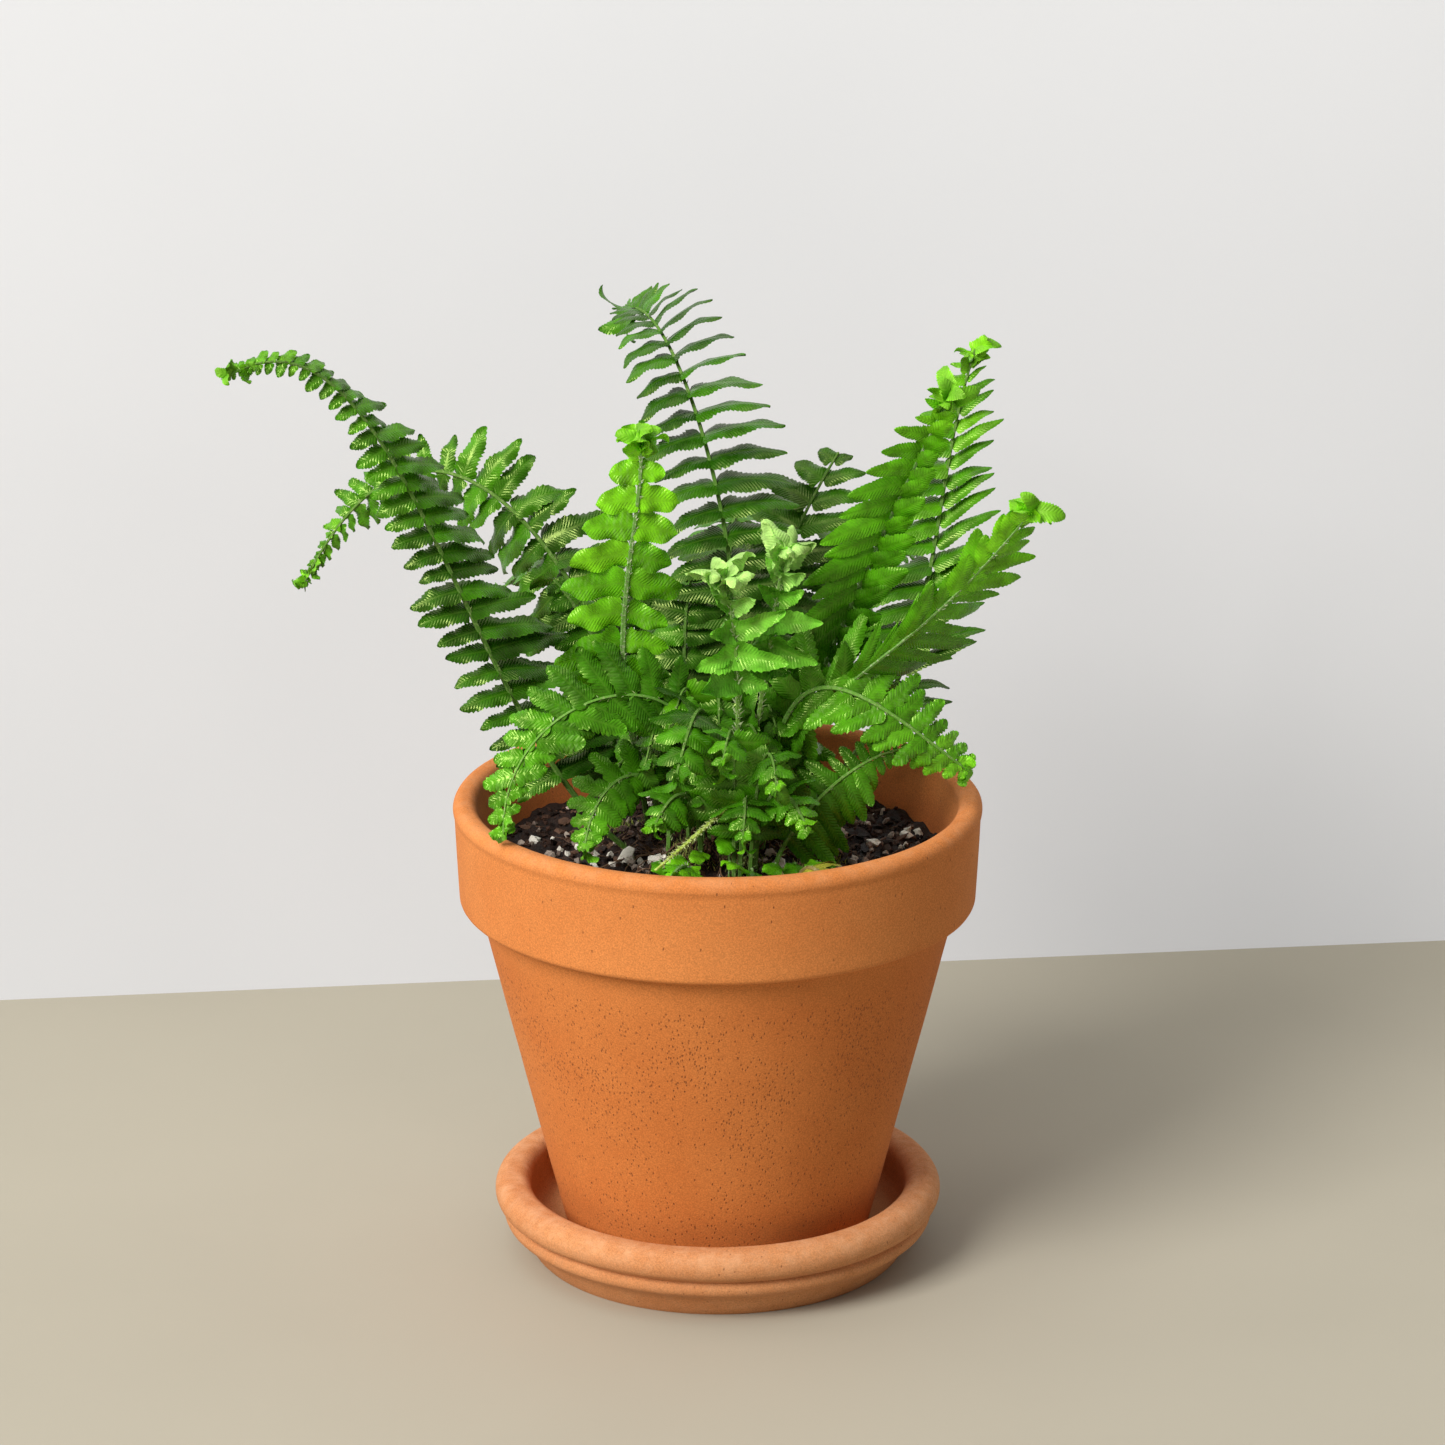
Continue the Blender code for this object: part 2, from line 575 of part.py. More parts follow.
def room_between(rings, pair, side, distance):
    """Room for a leaflet at a distance from the rachis, which is less inside a bend."""
    edges = []
    for ring in rings[pair:pair + 2]:
        across = unit(ring[0] - ring[1]) * side
        edges.append(ring.mean(axis=0) + across * distance)
    here = np.linalg.norm(rings[pair + 1].mean(axis=0) - rings[pair].mean(axis=0))
    return min(here, np.linalg.norm(edges[1] - edges[0]))


def place_leaflet(frond, rings, root, frame, side, share, others, draw):
    """The leaflet's loops in the first way that touches nothing, or None.

    others holds the obstacles outside this frond and its own leaflets so far. A neighbour
    shares an edge at the root, so only the blade past its first section is tried against them.
    """
    obstacles, own = others
    corners = rings.reshape(-1, 3)[root]
    base = corners.mean(axis=0)
    along = (share - frond.bare) / (1.0 - frond.bare)
    reach = leaflet_reach(frond, along) * (1.0 + LENGTH_SPREAD * draw.uniform(-1, 1))
    spacing = room_between(rings, root[1] // 4, side, SECTIONS[0][0] * reach)
    lean = frond.lean + TIP_LEAN * along ** 4 + LEAN_SPREAD * draw.uniform(-1, 1)
    droop = frond.droop + DROOP_SPREAD * draw.uniform(-1, 1)
    twist = frond.twist + (frond.tip_twist - frond.twist) * along
    twist += TWIST_SPREAD * draw.uniform(-1, 1)
    room = ROOM * spacing * math.cos(math.radians(lean)) / math.cos(math.radians(twist))
    for turn, size in WAYS_CLEAR:
        ear = min(max(SECTIONS[0][0], EAR_DISTANCE / (reach * size)), EAR_SHARE_MAX)
        steps = (ear, SECTIONS[1][0], 1.0)
        angles = (lean, frond.fold + turn, droop, twist)
        breadth = min(frond.breadth * reach, room) * max(size, NARROWEST)
        line = leaflet_line(base, frame, side, angles, reach * size, steps)
        guard = blade_loops(line, breadth, BLADE + 2 * GUARD, GUARD)
        if obstacles.touches([corners] + guard) or own.touches(guard):
            continue
        return blade_loops(line, breadth, BLADE, 0.0)
    return None


def frond_object(frond, points, faces, material, collection):
    mesh = bpy.data.meshes.new(frond.name)
    mesh.from_pydata(points, [], faces)
    shape = bmesh.new()
    shape.from_mesh(mesh)
    bmesh.ops.recalc_face_normals(shape, faces=shape.faces)
    shape.to_mesh(mesh)
    shape.free()
    return add_object(frond.name, mesh, material, collection)


def drill_stem_holes(soil, collection):
    """One plain upright hole in the soil for each stem."""
    cutter = bmesh.new()
    for frond in FRONDS:
        x, y = frond.root
        level = soil_height(x, y)
        depth = STEM_DEPTH + GAP + HOLE_ABOVE
        center = Matrix.Translation((x, y, level - STEM_DEPTH - GAP + depth / 2))
        bmesh.ops.create_cone(cutter, cap_ends=True, segments=HOLE_SIDES, radius1=HOLE_RADIUS,
                              radius2=HOLE_RADIUS, depth=depth, matrix=center)
    mesh = bpy.data.meshes.new("stem_holes")
    cutter.to_mesh(mesh)
    cutter.free()
    holes = bpy.data.objects.new("stem_holes", mesh)
    collection.objects.link(holes)
    holes.hide_render = True
    holes.display_type = "WIRE"
    drill = soil.modifiers.new("stem holes", "BOOLEAN")
    drill.object = holes
    drill.operation = "DIFFERENCE"
    drill.solver = "EXACT"


def evaluated_shell(piece):
    """Points and faces of an object with its modifiers, as plain lists."""
    graph = bpy.context.evaluated_depsgraph_get()
    mesh = piece.evaluated_get(graph).to_mesh()
    points = [tuple(v.co) for v in mesh.vertices]
    faces = [tuple(p.vertices) for p in mesh.polygons]
    return points, faces


for old in list(bpy.data.objects):
    bpy.data.objects.remove(old, do_unlink=True)

PLANT = new_collection("potted_fern")
CUTTERS = new_collection("cutters")
TERRACOTTA = make_material("terracotta", (0.52, 0.19, 0.06), 0.9)
SAUCER_CLAY = make_material("saucer_clay", (0.58, 0.25, 0.10), 0.9)
SOIL = make_material("soil", (0.03, 0.018, 0.012), 0.95)
LEAVES = {
    "mature": make_material("leaf_mature", (0.03, 0.17, 0.015), 0.45),
    "young": make_material("leaf_young", (0.08, 0.40, 0.01), 0.45),
    "pale": make_material("leaf_pale", (0.25, 0.50, 0.06), 0.6),
    "yellow": make_material("leaf_yellow", (0.45, 0.42, 0.04), 0.6),
}

make_saucer(SAUCER_CLAY, PLANT)
pot = make_pot(TERRACOTTA, PLANT)
soil = make_soil(SOIL, PLANT)
bpy.context.view_layer.update()

shells = {frond.name: stem_shell(frond) for frond in FRONDS}
standing = [evaluated_shell(pot), evaluated_shell(soil)]
draw = np.random.RandomState(SEED)
for frond in FRONDS:
    obstacles = Obstacles()
    for points, faces in standing:
        obstacles.add(points, faces)
    for name, (points, faces) in shells.items():
        if name != frond.name:
            obstacles.add(points, faces)
    points, faces = grow(frond, obstacles, draw)
    standing.append((points, faces))
    frond_object(frond, points, faces, LEAVES[frond.finish], PLANT)

drill_stem_holes(soil, CUTTERS)
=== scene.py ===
"""Potted jester's crown fern: the looks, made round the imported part.

Metres, in the part's own frame: +Z up, +Y away from the viewer, +X to the viewer's right. The
sections follow the plant as it is put together: saucer, pot, soil, the fronds, each grown close
to the line of its solid, and the small growth at the crown. Floor, wall, light and camera come
last.
"""

from dataclasses import dataclass
import json
import math

import bpy
import numpy as np
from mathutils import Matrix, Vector

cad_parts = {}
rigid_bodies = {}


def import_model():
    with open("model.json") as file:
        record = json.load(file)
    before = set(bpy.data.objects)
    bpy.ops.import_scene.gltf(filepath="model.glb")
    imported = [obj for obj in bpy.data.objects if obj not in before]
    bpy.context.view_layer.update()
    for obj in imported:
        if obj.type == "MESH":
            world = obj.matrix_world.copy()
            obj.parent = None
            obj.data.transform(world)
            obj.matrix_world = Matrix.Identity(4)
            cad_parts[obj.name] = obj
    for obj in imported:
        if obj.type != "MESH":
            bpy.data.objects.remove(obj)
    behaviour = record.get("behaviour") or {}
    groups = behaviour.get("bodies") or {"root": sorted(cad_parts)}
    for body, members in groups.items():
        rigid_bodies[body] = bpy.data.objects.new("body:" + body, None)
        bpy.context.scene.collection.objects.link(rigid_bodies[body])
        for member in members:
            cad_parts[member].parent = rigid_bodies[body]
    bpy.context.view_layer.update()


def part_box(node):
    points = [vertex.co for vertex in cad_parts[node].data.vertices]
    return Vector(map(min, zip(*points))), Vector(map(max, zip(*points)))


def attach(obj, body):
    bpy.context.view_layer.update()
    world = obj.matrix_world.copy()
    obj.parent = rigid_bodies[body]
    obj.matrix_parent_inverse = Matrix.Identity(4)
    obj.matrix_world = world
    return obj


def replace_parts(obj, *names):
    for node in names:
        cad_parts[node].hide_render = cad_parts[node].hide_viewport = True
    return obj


for leftover in list(bpy.data.objects):
    bpy.data.objects.remove(leftover, do_unlink=True)

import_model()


# Saucer
# A thick dish of unglazed clay, turned and fired. Its lip is rounded, with a groove and a second
# ring under it, and it is paler than the pot, with dust and old water marks on the lip.

TURN_STEPS = 220
SAUCER_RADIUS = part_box("saucer")[1].x
SAUCER_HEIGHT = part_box("saucer")[1].z
SAUCER_FLOOR = 0.0070
SAUCER_LIP_ROUND = 0.0040
SAUCER_LIP_INSIDE = 0.0470
SAUCER_INNER_ROUND = 0.0032
SAUCER_FILLET = 0.0035
SAUCER_GROOVE = (0.0540, 0.0122)
SAUCER_RING_RADIUS = 0.0536
SAUCER_RING_HEIGHT = 0.0094
SAUCER_RING_ROUND = 0.0022
SAUCER_SIDE = (0.0500, 0.0058)
SAUCER_FOOT = 0.0460
SAUCER_FOOT_CHAMFER = 0.0008
SAUCER_LIGHT = (0.62, 0.275, 0.110)
SAUCER_DARK = (0.50, 0.195, 0.070)
DUST = (0.70, 0.40, 0.22)
OUTLINE_SPACING = 0.0022
UP = np.array([0.0, 0.0, 1.0])


def arc(center, radius, start, end, count=12):
    """Points on a circle from angle start to end, in degrees, both ends included."""
    angles = np.radians(np.linspace(start, end, count))
    return np.column_stack([center[0] + radius * np.cos(angles),
                            center[1] + radius * np.sin(angles)])


def fill_in(outline, spacing):
    """The outline with points added on its long runs, so that none are further than spacing."""
    pieces = []
    for start, end in zip(outline[:-1], outline[1:]):
        count = max(1, math.ceil(np.linalg.norm(end - start) / spacing))
        pieces.append(start + (end - start) * np.arange(count)[:, None] / count)
    return np.vstack(pieces + [outline[-1:]])


def lattice_noise(points, cell, seed):
    """Random heights between -1 and 1 at the corners of cubes of side cell, blended smoothly
    between the corners: the sum over the 8 corners of height times smoothed share."""
    grid = np.asarray(points) / cell
    low = np.floor(grid)
    share = grid - low
    share = share * share * (3.0 - 2.0 * share)
    total = np.zeros(len(grid))
    for corner in np.ndindex(2, 2, 2):
        index = low + corner
        turn = np.sin(index @ (127.1, 311.7, 74.7) + seed * 17.3) * 43758.5453
        height = 2.0 * (turn - np.floor(turn)) - 1.0
        total += height * np.prod(np.where(corner, share, 1.0 - share), axis=1)
    return total


def make_piece(name, points, faces, values, material, sharp=50.0):
    """A mesh object at the origin that rides on the plant, with its values as attributes."""
    mesh = bpy.data.meshes.new(name)
    mesh.from_pydata(points, [], faces)
    for key, numbers in values.items():
        attribute = mesh.attributes.new(key, "FLOAT", "POINT")
        attribute.data.foreach_set("value", np.asarray(numbers, dtype=np.float32))
    mesh.materials.append(material)
    mesh.shade_smooth()
    mesh.set_sharp_from_angle(angle=math.radians(sharp))
    piece = bpy.data.objects.new(name, mesh)
    bpy.context.scene.collection.objects.link(piece)
    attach(piece, "root")
    return piece


def unit(vector):
    """The vector at length one, along the last axis."""
    vector = np.asarray(vector, dtype=float)
    return vector / np.linalg.norm(vector, axis=-1, keepdims=True)


def ring_faces(rings, steps, closed=False):
    """Quads between rings of steps points each, the last ring joined to the first if closed."""
    i, j = np.meshgrid(np.arange(rings if closed else rings - 1), np.arange(steps), indexing="ij")
    ahead, beside = (i + 1) % rings, (j + 1) % steps
    return np.stack([i * steps + j, i * steps + beside, ahead * steps + beside,
                     ahead * steps + j], axis=-1).reshape(-1, 4)


def fan_faces(first, steps, middle):
    """Triangles between a ring, from its first point on, and a middle point."""
    sides = np.arange(steps)
    return np.column_stack([first + sides, first + (sides + 1) % steps, np.full(steps, middle)])


def turned_surface(outline, relief):
    """Points and faces of an outline of radius and height, turned about the Z axis.

    Each point is moved along the outline's normal by relief, worked out from where it stands.
    An outline whose ends are on the axis is closed by one point there, and any other outline
    by its own start.
    """
    on_axis = outline[0, 0] == 0.0
    rings = slice(1, -1) if on_axis else slice(None)
    along = np.roll(outline, -1, axis=0) - np.roll(outline, 1, axis=0)
    normal = unit(np.column_stack([-along[:, 1], along[:, 0]]))
    angles = np.arange(TURN_STEPS) * 2.0 * math.pi / TURN_STEPS
    way = np.column_stack([np.cos(angles), np.sin(angles), np.zeros(TURN_STEPS)])

    def turned(rows):
        return (rows[rings, None, :1] * way + rows[rings, None, 1:] * UP).reshape(-1, 3)

    points = turned(outline)
    points = points + turned(normal) * relief(points)[:, None]
    end = len(points)
    faces = ring_faces(end // TURN_STEPS, TURN_STEPS, not on_axis)[:, [0, 3, 2, 1]].tolist()
    if on_axis:
        points = np.vstack([points, outline[[0, -1], 1:] * UP])
        faces += fan_faces(0, TURN_STEPS, end).tolist()
        faces += fan_faces(end - TURN_STEPS, TURN_STEPS, end + 1)[:, ::-1].tolist()
    return points, faces


def clay_relief(points):
    """Unevenness of turned clay: slow swells and finer ripples, a tenth of a millimetre."""
    return 0.00011 * lattice_noise(points, 0.021, 3) + 0.00004 * lattice_noise(points, 0.006, 5)


def feed(node, sockets):
    """Set a node's sockets to values, or link them to the sockets that feed them."""
    for key, value in sockets.items():
        if isinstance(value, bpy.types.NodeSocket):
            node.id_data.links.new(value, node.inputs[key])
        else:
            node.inputs[key].default_value = value


def put(tree, kind, sockets=None, **settings):
    """Add a node. Settings are its own properties, sockets its values or what feeds them."""
    node = tree.nodes.new(kind)
    for key, value in settings.items():
        setattr(node, key, value)
    feed(node, sockets or {})
    return node


def work_out(operation, first, second=0.0):
    """A Math node's result, in the tree of its first socket."""
    return put(first.id_data, "ShaderNodeMath", {0: first, 1: second},
               operation=operation).outputs[0]


def plus(first, second):
    """The sum of a socket and a number or another socket."""
    return work_out("ADD", first, second)


def minus(first, second):
    """The difference between a socket and a number or another socket."""
    return work_out("SUBTRACT", first, second)


def times(first, second):
    """The product of a socket and a number or another socket."""
    return work_out("MULTIPLY", first, second)


def blend_colors(share, first, second, kind="MIX"):
    """A Mix node's colour, which goes from the first to the second as share goes up."""
    first, second = ((*c, 1.0) if isinstance(c, tuple) else c for c in (first, second))
    wired = next(v for v in (share, first, second) if isinstance(v, bpy.types.NodeSocket))
    return put(wired.id_data, "ShaderNodeMix", {0: share, 6: first, 7: second},
               data_type="RGBA", blend_type=kind).outputs[2]


def slope(value, low, high, start=0.0, end=1.0):
    """A smooth step from start to end while the value goes from low to high."""
    return put(value.id_data, "ShaderNodeMapRange",
               {0: value, 1: low, 2: high, 3: start, 4: end},
               interpolation_type="SMOOTHSTEP").outputs[0]


def grain(place, scale, detail=2.0, roughness=0.5):
    """A noise texture's value at that place, with scale in waves per metre."""
    return put(place.id_data, "ShaderNodeTexNoise",
               {"Vector": place, "Scale": scale, "Detail": detail,
                "Roughness": roughness}).outputs[0]


def new_group(name, inputs, outputs):
    """An empty shader group. Inputs and outputs name its sockets and say their kinds."""
    group = bpy.data.node_groups.new(name, "ShaderNodeTree")
    for way, sockets in (("INPUT", inputs), ("OUTPUT", outputs)):
        for label, kind in sockets.items():
            group.interface.new_socket(name=label, in_out=way, socket_type="NodeSocket" + kind)
    return group, group.nodes.new("NodeGroupInput").outputs, group.nodes.new("NodeGroupOutput")


def unglazed_clay():
    """Shader group: mottled clay with grit in it, open pits darkened with painted shade, and
    dust lying on it.
    """
    group, given, result = new_group(
        "unglazed clay",
        {"Place": "Vector", "Light": "Color", "Dark": "Color", "Dust Color": "Color",
         "Dust": "Float", "Pits": "Float"},
        {"Color": "Color", "Height": "Float"})
    place = given["Place"]
    swell = slope(grain(place, 22.0), 0.3, 0.7)
    blotch = slope(grain(place, 120.0, 4.0, 0.6), 0.2, 0.8)
    grit = grain(place, 2600.0, 2.0, 0.65)
    powder = grain(place, 5200.0, 1.0)
    share = plus(times(swell, 0.6), times(blotch, 0.4))
    color = blend_colors(share, given["Dark"], given["Light"])
    color = blend_colors(1.0, color, slope(grit, 0.28, 0.72, 0.80, 1.15), "MULTIPLY")
    slanted = put(group, "ShaderNodeMapping", {"Vector": place, "Rotation": (0.0, 0.6, 0.0),
                                               "Scale": (1.7, 1.7, 0.75)})
    cells = put(group, "ShaderNodeTexVoronoi", {"Vector": slanted.outputs[0], "Scale": 880.0})
    lot = put(group, "ShaderNodeSeparateColor", {0: cells.outputs["Color"]}).outputs[0]
    gathered = slope(grain(place, 60.0), 0.38, 0.62, 0.35, 1.5)
    chosen = work_out("LESS_THAN", lot, times(given["Pits"], gathered))
    pit = times(slope(cells.outputs["Distance"], 0.12, 0.36, 1.0, 0.0), chosen)
    # Painted shade: the pits are darkened towards deep brown, as shade inside them.
    color = blend_colors(times(pit, 0.70), color, (0.15, 0.045, 0.016))
    dusty = times(slope(grain(place, 210.0, 5.0, 0.7), 0.35, 0.75), given["Dust"])
    color = blend_colors(dusty, color, given["Dust Color"])
    height = plus(plus(times(grit, 0.16), times(powder, 0.08)), times(blotch, 0.15))
    feed(result, {"Color": color, "Height": minus(height, pit)})
    return group


CLAY = unglazed_clay()


def new_material(name):
    """A material with its node tree, its Principled shader and its place on the piece."""
    material = bpy.data.materials.new(name)
    material.use_nodes = True
    tree = material.node_tree
    place = tree.nodes.new("ShaderNodeTexCoord").outputs["Object"]
    return material, tree, tree.nodes["Principled BSDF"], place


def cover(shader, color, height, strength, depth, roughness, gloss):
    """Feed a shader its colour, a bump of that strength and depth, its roughness and its gloss,
    and hand back the bump."""
    bump = put(shader.id_data, "ShaderNodeBump",
               {"Strength": strength, "Distance": depth, "Height": height}).outputs[0]
    feed(shader, {"Base Color": color, "Normal": bump, "Roughness": roughness,
                  "Specular IOR Level": gloss})
    return bump


def use_clay(shader, place, light, dark, dust, pits, depth):
    """Feed a shader with the clay group."""
    clay = put(shader.id_data, "ShaderNodeGroup",
               {"Place": place, "Light": light, "Dark": dark, "Dust Color": (*DUST, 1.0),
                "Dust": dust, "Pits": pits}, node_tree=CLAY).outputs
    cover(shader, clay["Color"], clay["Height"], 0.55, depth, 0.88, 0.22)


def saucer_finish():
    """Pale clay, dusty on the lip, with brown specks where water dried."""
    material, tree, shader, place = new_material("saucer clay")
    height = put(tree, "ShaderNodeSeparateXYZ", {0: place}).outputs[2]
    lip = slope(height, SAUCER_HEIGHT - 0.006, SAUCER_HEIGHT, 0.15, 0.5)
    stain = slope(grain(place, 75.0, 6.0, 0.75), 0.60, 0.72, 0.0, 0.5)
    streaks = put(tree, "ShaderNodeMapping", {"Vector": place, "Scale": (1.0, 1.0, 22.0)})
    streak = slope(grain(streaks.outputs[0], 70.0, 3.0), 0.40, 0.66, 0.0, 0.35)
    light = blend_colors(streak, SAUCER_LIGHT, SAUCER_DARK)
    dark = blend_colors(stain, SAUCER_DARK, (0.25, 0.095, 0.045))
    use_clay(shader, place, light, dark, lip, 0.03, 0.00022)
    return material


def make_saucer():
    """The saucer's outline: floor, fillet, lip, groove, ring and foot, turned about the axis."""
    outline = fill_in(np.vstack([
        [(0.0, SAUCER_FLOOR)],
        arc((SAUCER_LIP_INSIDE - SAUCER_FILLET, SAUCER_FLOOR + SAUCER_FILLET), SAUCER_FILLET,
            -90, -10),
        arc((SAUCER_LIP_INSIDE + SAUCER_INNER_ROUND, SAUCER_HEIGHT - SAUCER_INNER_ROUND),
            SAUCER_INNER_ROUND, 180, 90),
        arc((SAUCER_RADIUS - SAUCER_LIP_ROUND, SAUCER_HEIGHT - SAUCER_LIP_ROUND),
            SAUCER_LIP_ROUND, 86, -34, 14),
        [SAUCER_GROOVE],
        arc((SAUCER_RING_RADIUS - SAUCER_RING_ROUND, SAUCER_RING_HEIGHT), SAUCER_RING_ROUND,
            56, -70, 10),
        [SAUCER_SIDE, (SAUCER_FOOT + SAUCER_FOOT_CHAMFER, SAUCER_FOOT_CHAMFER),
         (SAUCER_FOOT, 0.0), (0.0, 0.0)]]), OUTLINE_SPACING)
    points, faces = turned_surface(outline, lambda p: clay_relief(p) * (p[:, 2] > 0.001))
    piece = make_piece("saucer_fired", points, faces, {}, saucer_finish(), 40.0)
    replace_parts(piece, "saucer")


make_saucer()


# Pot
# A standard clay pot, turned and fired unglazed: straight tapering body, a tall collar with a
# rounded lip, and a drain hole in the floor. The body is full of small open pits, darkened with
# painted shade, and the collar is smoother because it was wiped. The body below the collar is
# painted darker and redder, as shade. Water and old soil have darkened the inside, and painted
# shade makes it redder further down.

RIM_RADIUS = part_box("pot")[1].x
RIM_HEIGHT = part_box("pot")[1].z
POT_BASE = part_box("pot")[0].z
LIP_ROUND = 0.0027
WALL = 0.0057
COLLAR_BOTTOM = 0.0920
COLLAR_BOTTOM_RADIUS = 0.0637
COLLAR_ROUND = 0.0015
BODY_TOP_RADIUS = 0.0589
POT_BASE_RADIUS = 0.0380
POT_FOOT_CHAMFER = 0.0010
POT_FLOOR = 0.0070
DRAIN_RADIUS = 0.0060
CLAY_LIGHT = (0.63, 0.225, 0.060)
CLAY_DARK = (0.56, 0.178, 0.042)
# Painted shade: the body below the collar takes these darker, redder colours.
SHADED_BODY_CLAY_LIGHT = (0.60, 0.195, 0.046)
SHADED_BODY_CLAY_DARK = (0.53, 0.152, 0.032)
# Damp clay and painted shade: the redder colour of the inside, in place of part of its shade.
DAMP_AND_SHADED_CLAY = (0.56, 0.145, 0.036)
LIP_STEP = 0.0004


def wall_outside(z):
    """Outer radius of the pot's body: a straight taper from the base to the collar."""
    share = (z - POT_BASE) / (COLLAR_BOTTOM - POT_BASE)
    return POT_BASE_RADIUS + (BODY_TOP_RADIUS - POT_BASE_RADIUS) * share


def wall_inside(z):
    """Inner radius of the pot, parallel to the body."""
    return wall_outside(z) - WALL


def pot_finish():
    """Orange clay, pitted below the collar, painted darker and redder below the collar as shade,
    pale on the lip, and inside, where the radius is less than that of the middle of the wall,
    damp and redder with painted shade, more so further down."""
    material, tree, shader, place = new_material("pot clay")
    x, y, height = put(tree, "ShaderNodeSeparateXYZ", {0: place}).outputs
    radius = work_out("SQRT", plus(work_out("POWER", x, 2.0), work_out("POWER", y, 2.0)))
    taper = (BODY_TOP_RADIUS - POT_BASE_RADIUS) / (COLLAR_BOTTOM - POT_BASE)
    wall = plus(times(minus(height, POT_BASE), taper), POT_BASE_RADIUS - WALL / 2)
    inside = slope(minus(wall, radius), 0.0, 0.002)
    # Damp and painted shade inside the pot, stronger further below the rim.
    damp = times(inside, slope(height, RIM_HEIGHT - 0.004, RIM_HEIGHT - 0.016, 0.1, 0.72))
    # Painted shade: the clay below the collar is mixed towards the shaded-body colours.
    collar = slope(height, COLLAR_BOTTOM - 0.012, COLLAR_BOTTOM + 0.004)
    light = blend_colors(damp, blend_colors(collar, SHADED_BODY_CLAY_LIGHT, CLAY_LIGHT), DAMP_AND_SHADED_CLAY)
    dark = blend_colors(damp, blend_colors(collar, SHADED_BODY_CLAY_DARK, CLAY_DARK), DAMP_AND_SHADED_CLAY)
    upper = slope(height, COLLAR_BOTTOM - 0.016, COLLAR_BOTTOM - 0.006, 0.92, 0.02)
    pits = times(upper, slope(height, 0.030, 0.066, 0.35, 1.0))
    lip = slope(height, RIM_HEIGHT - 0.004, RIM_HEIGHT, 0.0, 0.22)
    use_clay(shader, place, light, dark, lip, pits, 0.00030)
    return material


def make_pot():
    """The pot's outline: lip, collar, body, foot, drain hole and inside, closed on itself."""
    lip_center = RIM_HEIGHT - LIP_ROUND
    foot_top = POT_BASE + POT_FOOT_CHAMFER
    floor_top = POT_BASE + POT_FLOOR
    outline = np.vstack([
        arc((RIM_RADIUS - LIP_ROUND, lip_center), LIP_ROUND, 90, -12),
        [(RIM_RADIUS - LIP_STEP, lip_center - 0.0012),
         (RIM_RADIUS - LIP_STEP, lip_center - 0.0022)],
        arc((COLLAR_BOTTOM_RADIUS - COLLAR_ROUND, COLLAR_BOTTOM + COLLAR_ROUND), COLLAR_ROUND,
            0, -90, 8),
        arc((wall_outside(COLLAR_BOTTOM) + 0.0008, COLLAR_BOTTOM - 0.0008), 0.0008, 90, 180, 5),
        [(wall_outside(foot_top), foot_top), (POT_BASE_RADIUS - POT_FOOT_CHAMFER, POT_BASE),
         (DRAIN_RADIUS, POT_BASE), (DRAIN_RADIUS, floor_top),
         (wall_inside(floor_top), floor_top)],
        arc((wall_inside(lip_center) + LIP_ROUND, lip_center), LIP_ROUND, 180, 100, 9)])
    outline = fill_in(np.vstack([outline, outline[:1]]), OUTLINE_SPACING)[:-1]
    points, faces = turned_surface(outline, clay_relief)
    piece = make_piece("pot_fired", points, faces, {}, pot_finish(), 40.0)
    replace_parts(piece, "pot")


make_pot()


# Soil
# Moist dark potting mix that fills the pot to 15 mm under the rim and rises to the crown: fine
# peat with crumbs, shreds of composted bark, grey grit and white puffed rock lying in it.

SOIL_EDGE = 0.1030
SOIL_MOUND = 0.0100
MOUND_SPREAD = 0.0200
LUMP = (0.0007, 290.0, 260.0, 1.3, 0.4)
RIPPLE = (0.0005, 530.0, -410.0, 2.1)
SOIL_RINGS = 84
SOIL_STEPS = 260
SOIL_INTO_WALL = 0.0006
BARK_COUNT = 760
CRUMB_COUNT = 1500
GRIT_COUNT = 240
PUFF_COUNT = 95
BIG_PUFFS = ((-0.0218, -0.0110, 0.0042), (-0.0155, -0.0155, 0.0022), (-0.0300, -0.0125, 0.0019),
             (-0.0455, 0.0080, 0.0020), (-0.0340, 0.0015, 0.0017), (0.0150, -0.0160, 0.0021),
             (0.0385, 0.0050, 0.0022), (0.0470, 0.0130, 0.0019), (0.0330, 0.0300, 0.0028),
             (-0.0240, 0.0400, 0.0026), (0.0100, 0.0420, 0.0022))


def soil_height(x, y):
    """The soil's level: the edge, a low mound at the crown, and lumps made of crossing waves."""
    mound = SOIL_MOUND * np.exp(-(np.hypot(x, y) / MOUND_SPREAD) ** 2)
    height, along_x, along_y, phase_x, phase_y = LUMP
    lumps = height * np.sin(along_x * x + phase_x) * np.sin(along_y * y + phase_y)
    height, along_x, along_y, phase = RIPPLE
    ripples = height * np.sin(along_x * x + along_y * y + phase)
    return SOIL_EDGE + mound + lumps + ripples


def soil_surface(x, y):
    """The soil's level with its crumbly relief, of four sizes of lattice noise."""
    flat = np.column_stack([x, y, np.zeros(len(x))])
    relief = 0.00055 * lattice_noise(flat, 0.0046, 11) + 0.00045 * lattice_noise(flat, 0.0021, 12)
    relief += 0.00030 * lattice_noise(flat, 0.0011, 13)
    return soil_height(x, y) + relief


def soil_finish():
    """Peat from near black to umber, damp in the hollows and dry on the crumbs."""
    material, _, shader, place = new_material("potting soil")
    tone = slope(grain(place, 420.0, 5.0, 0.7), 0.3, 0.72)
    color = blend_colors(tone, (0.006, 0.003, 0.002), (0.034, 0.015, 0.009))
    fleck = slope(grain(place, 900.0), 0.68, 0.76)
    color = blend_colors(fleck, color, (0.11, 0.07, 0.045))
    cover(shader, color, grain(place, 1300.0, 4.0, 0.75), 0.9, 0.0006,
          slope(tone, 0.0, 1.0, 0.5, 0.95), 0.3)
    return material


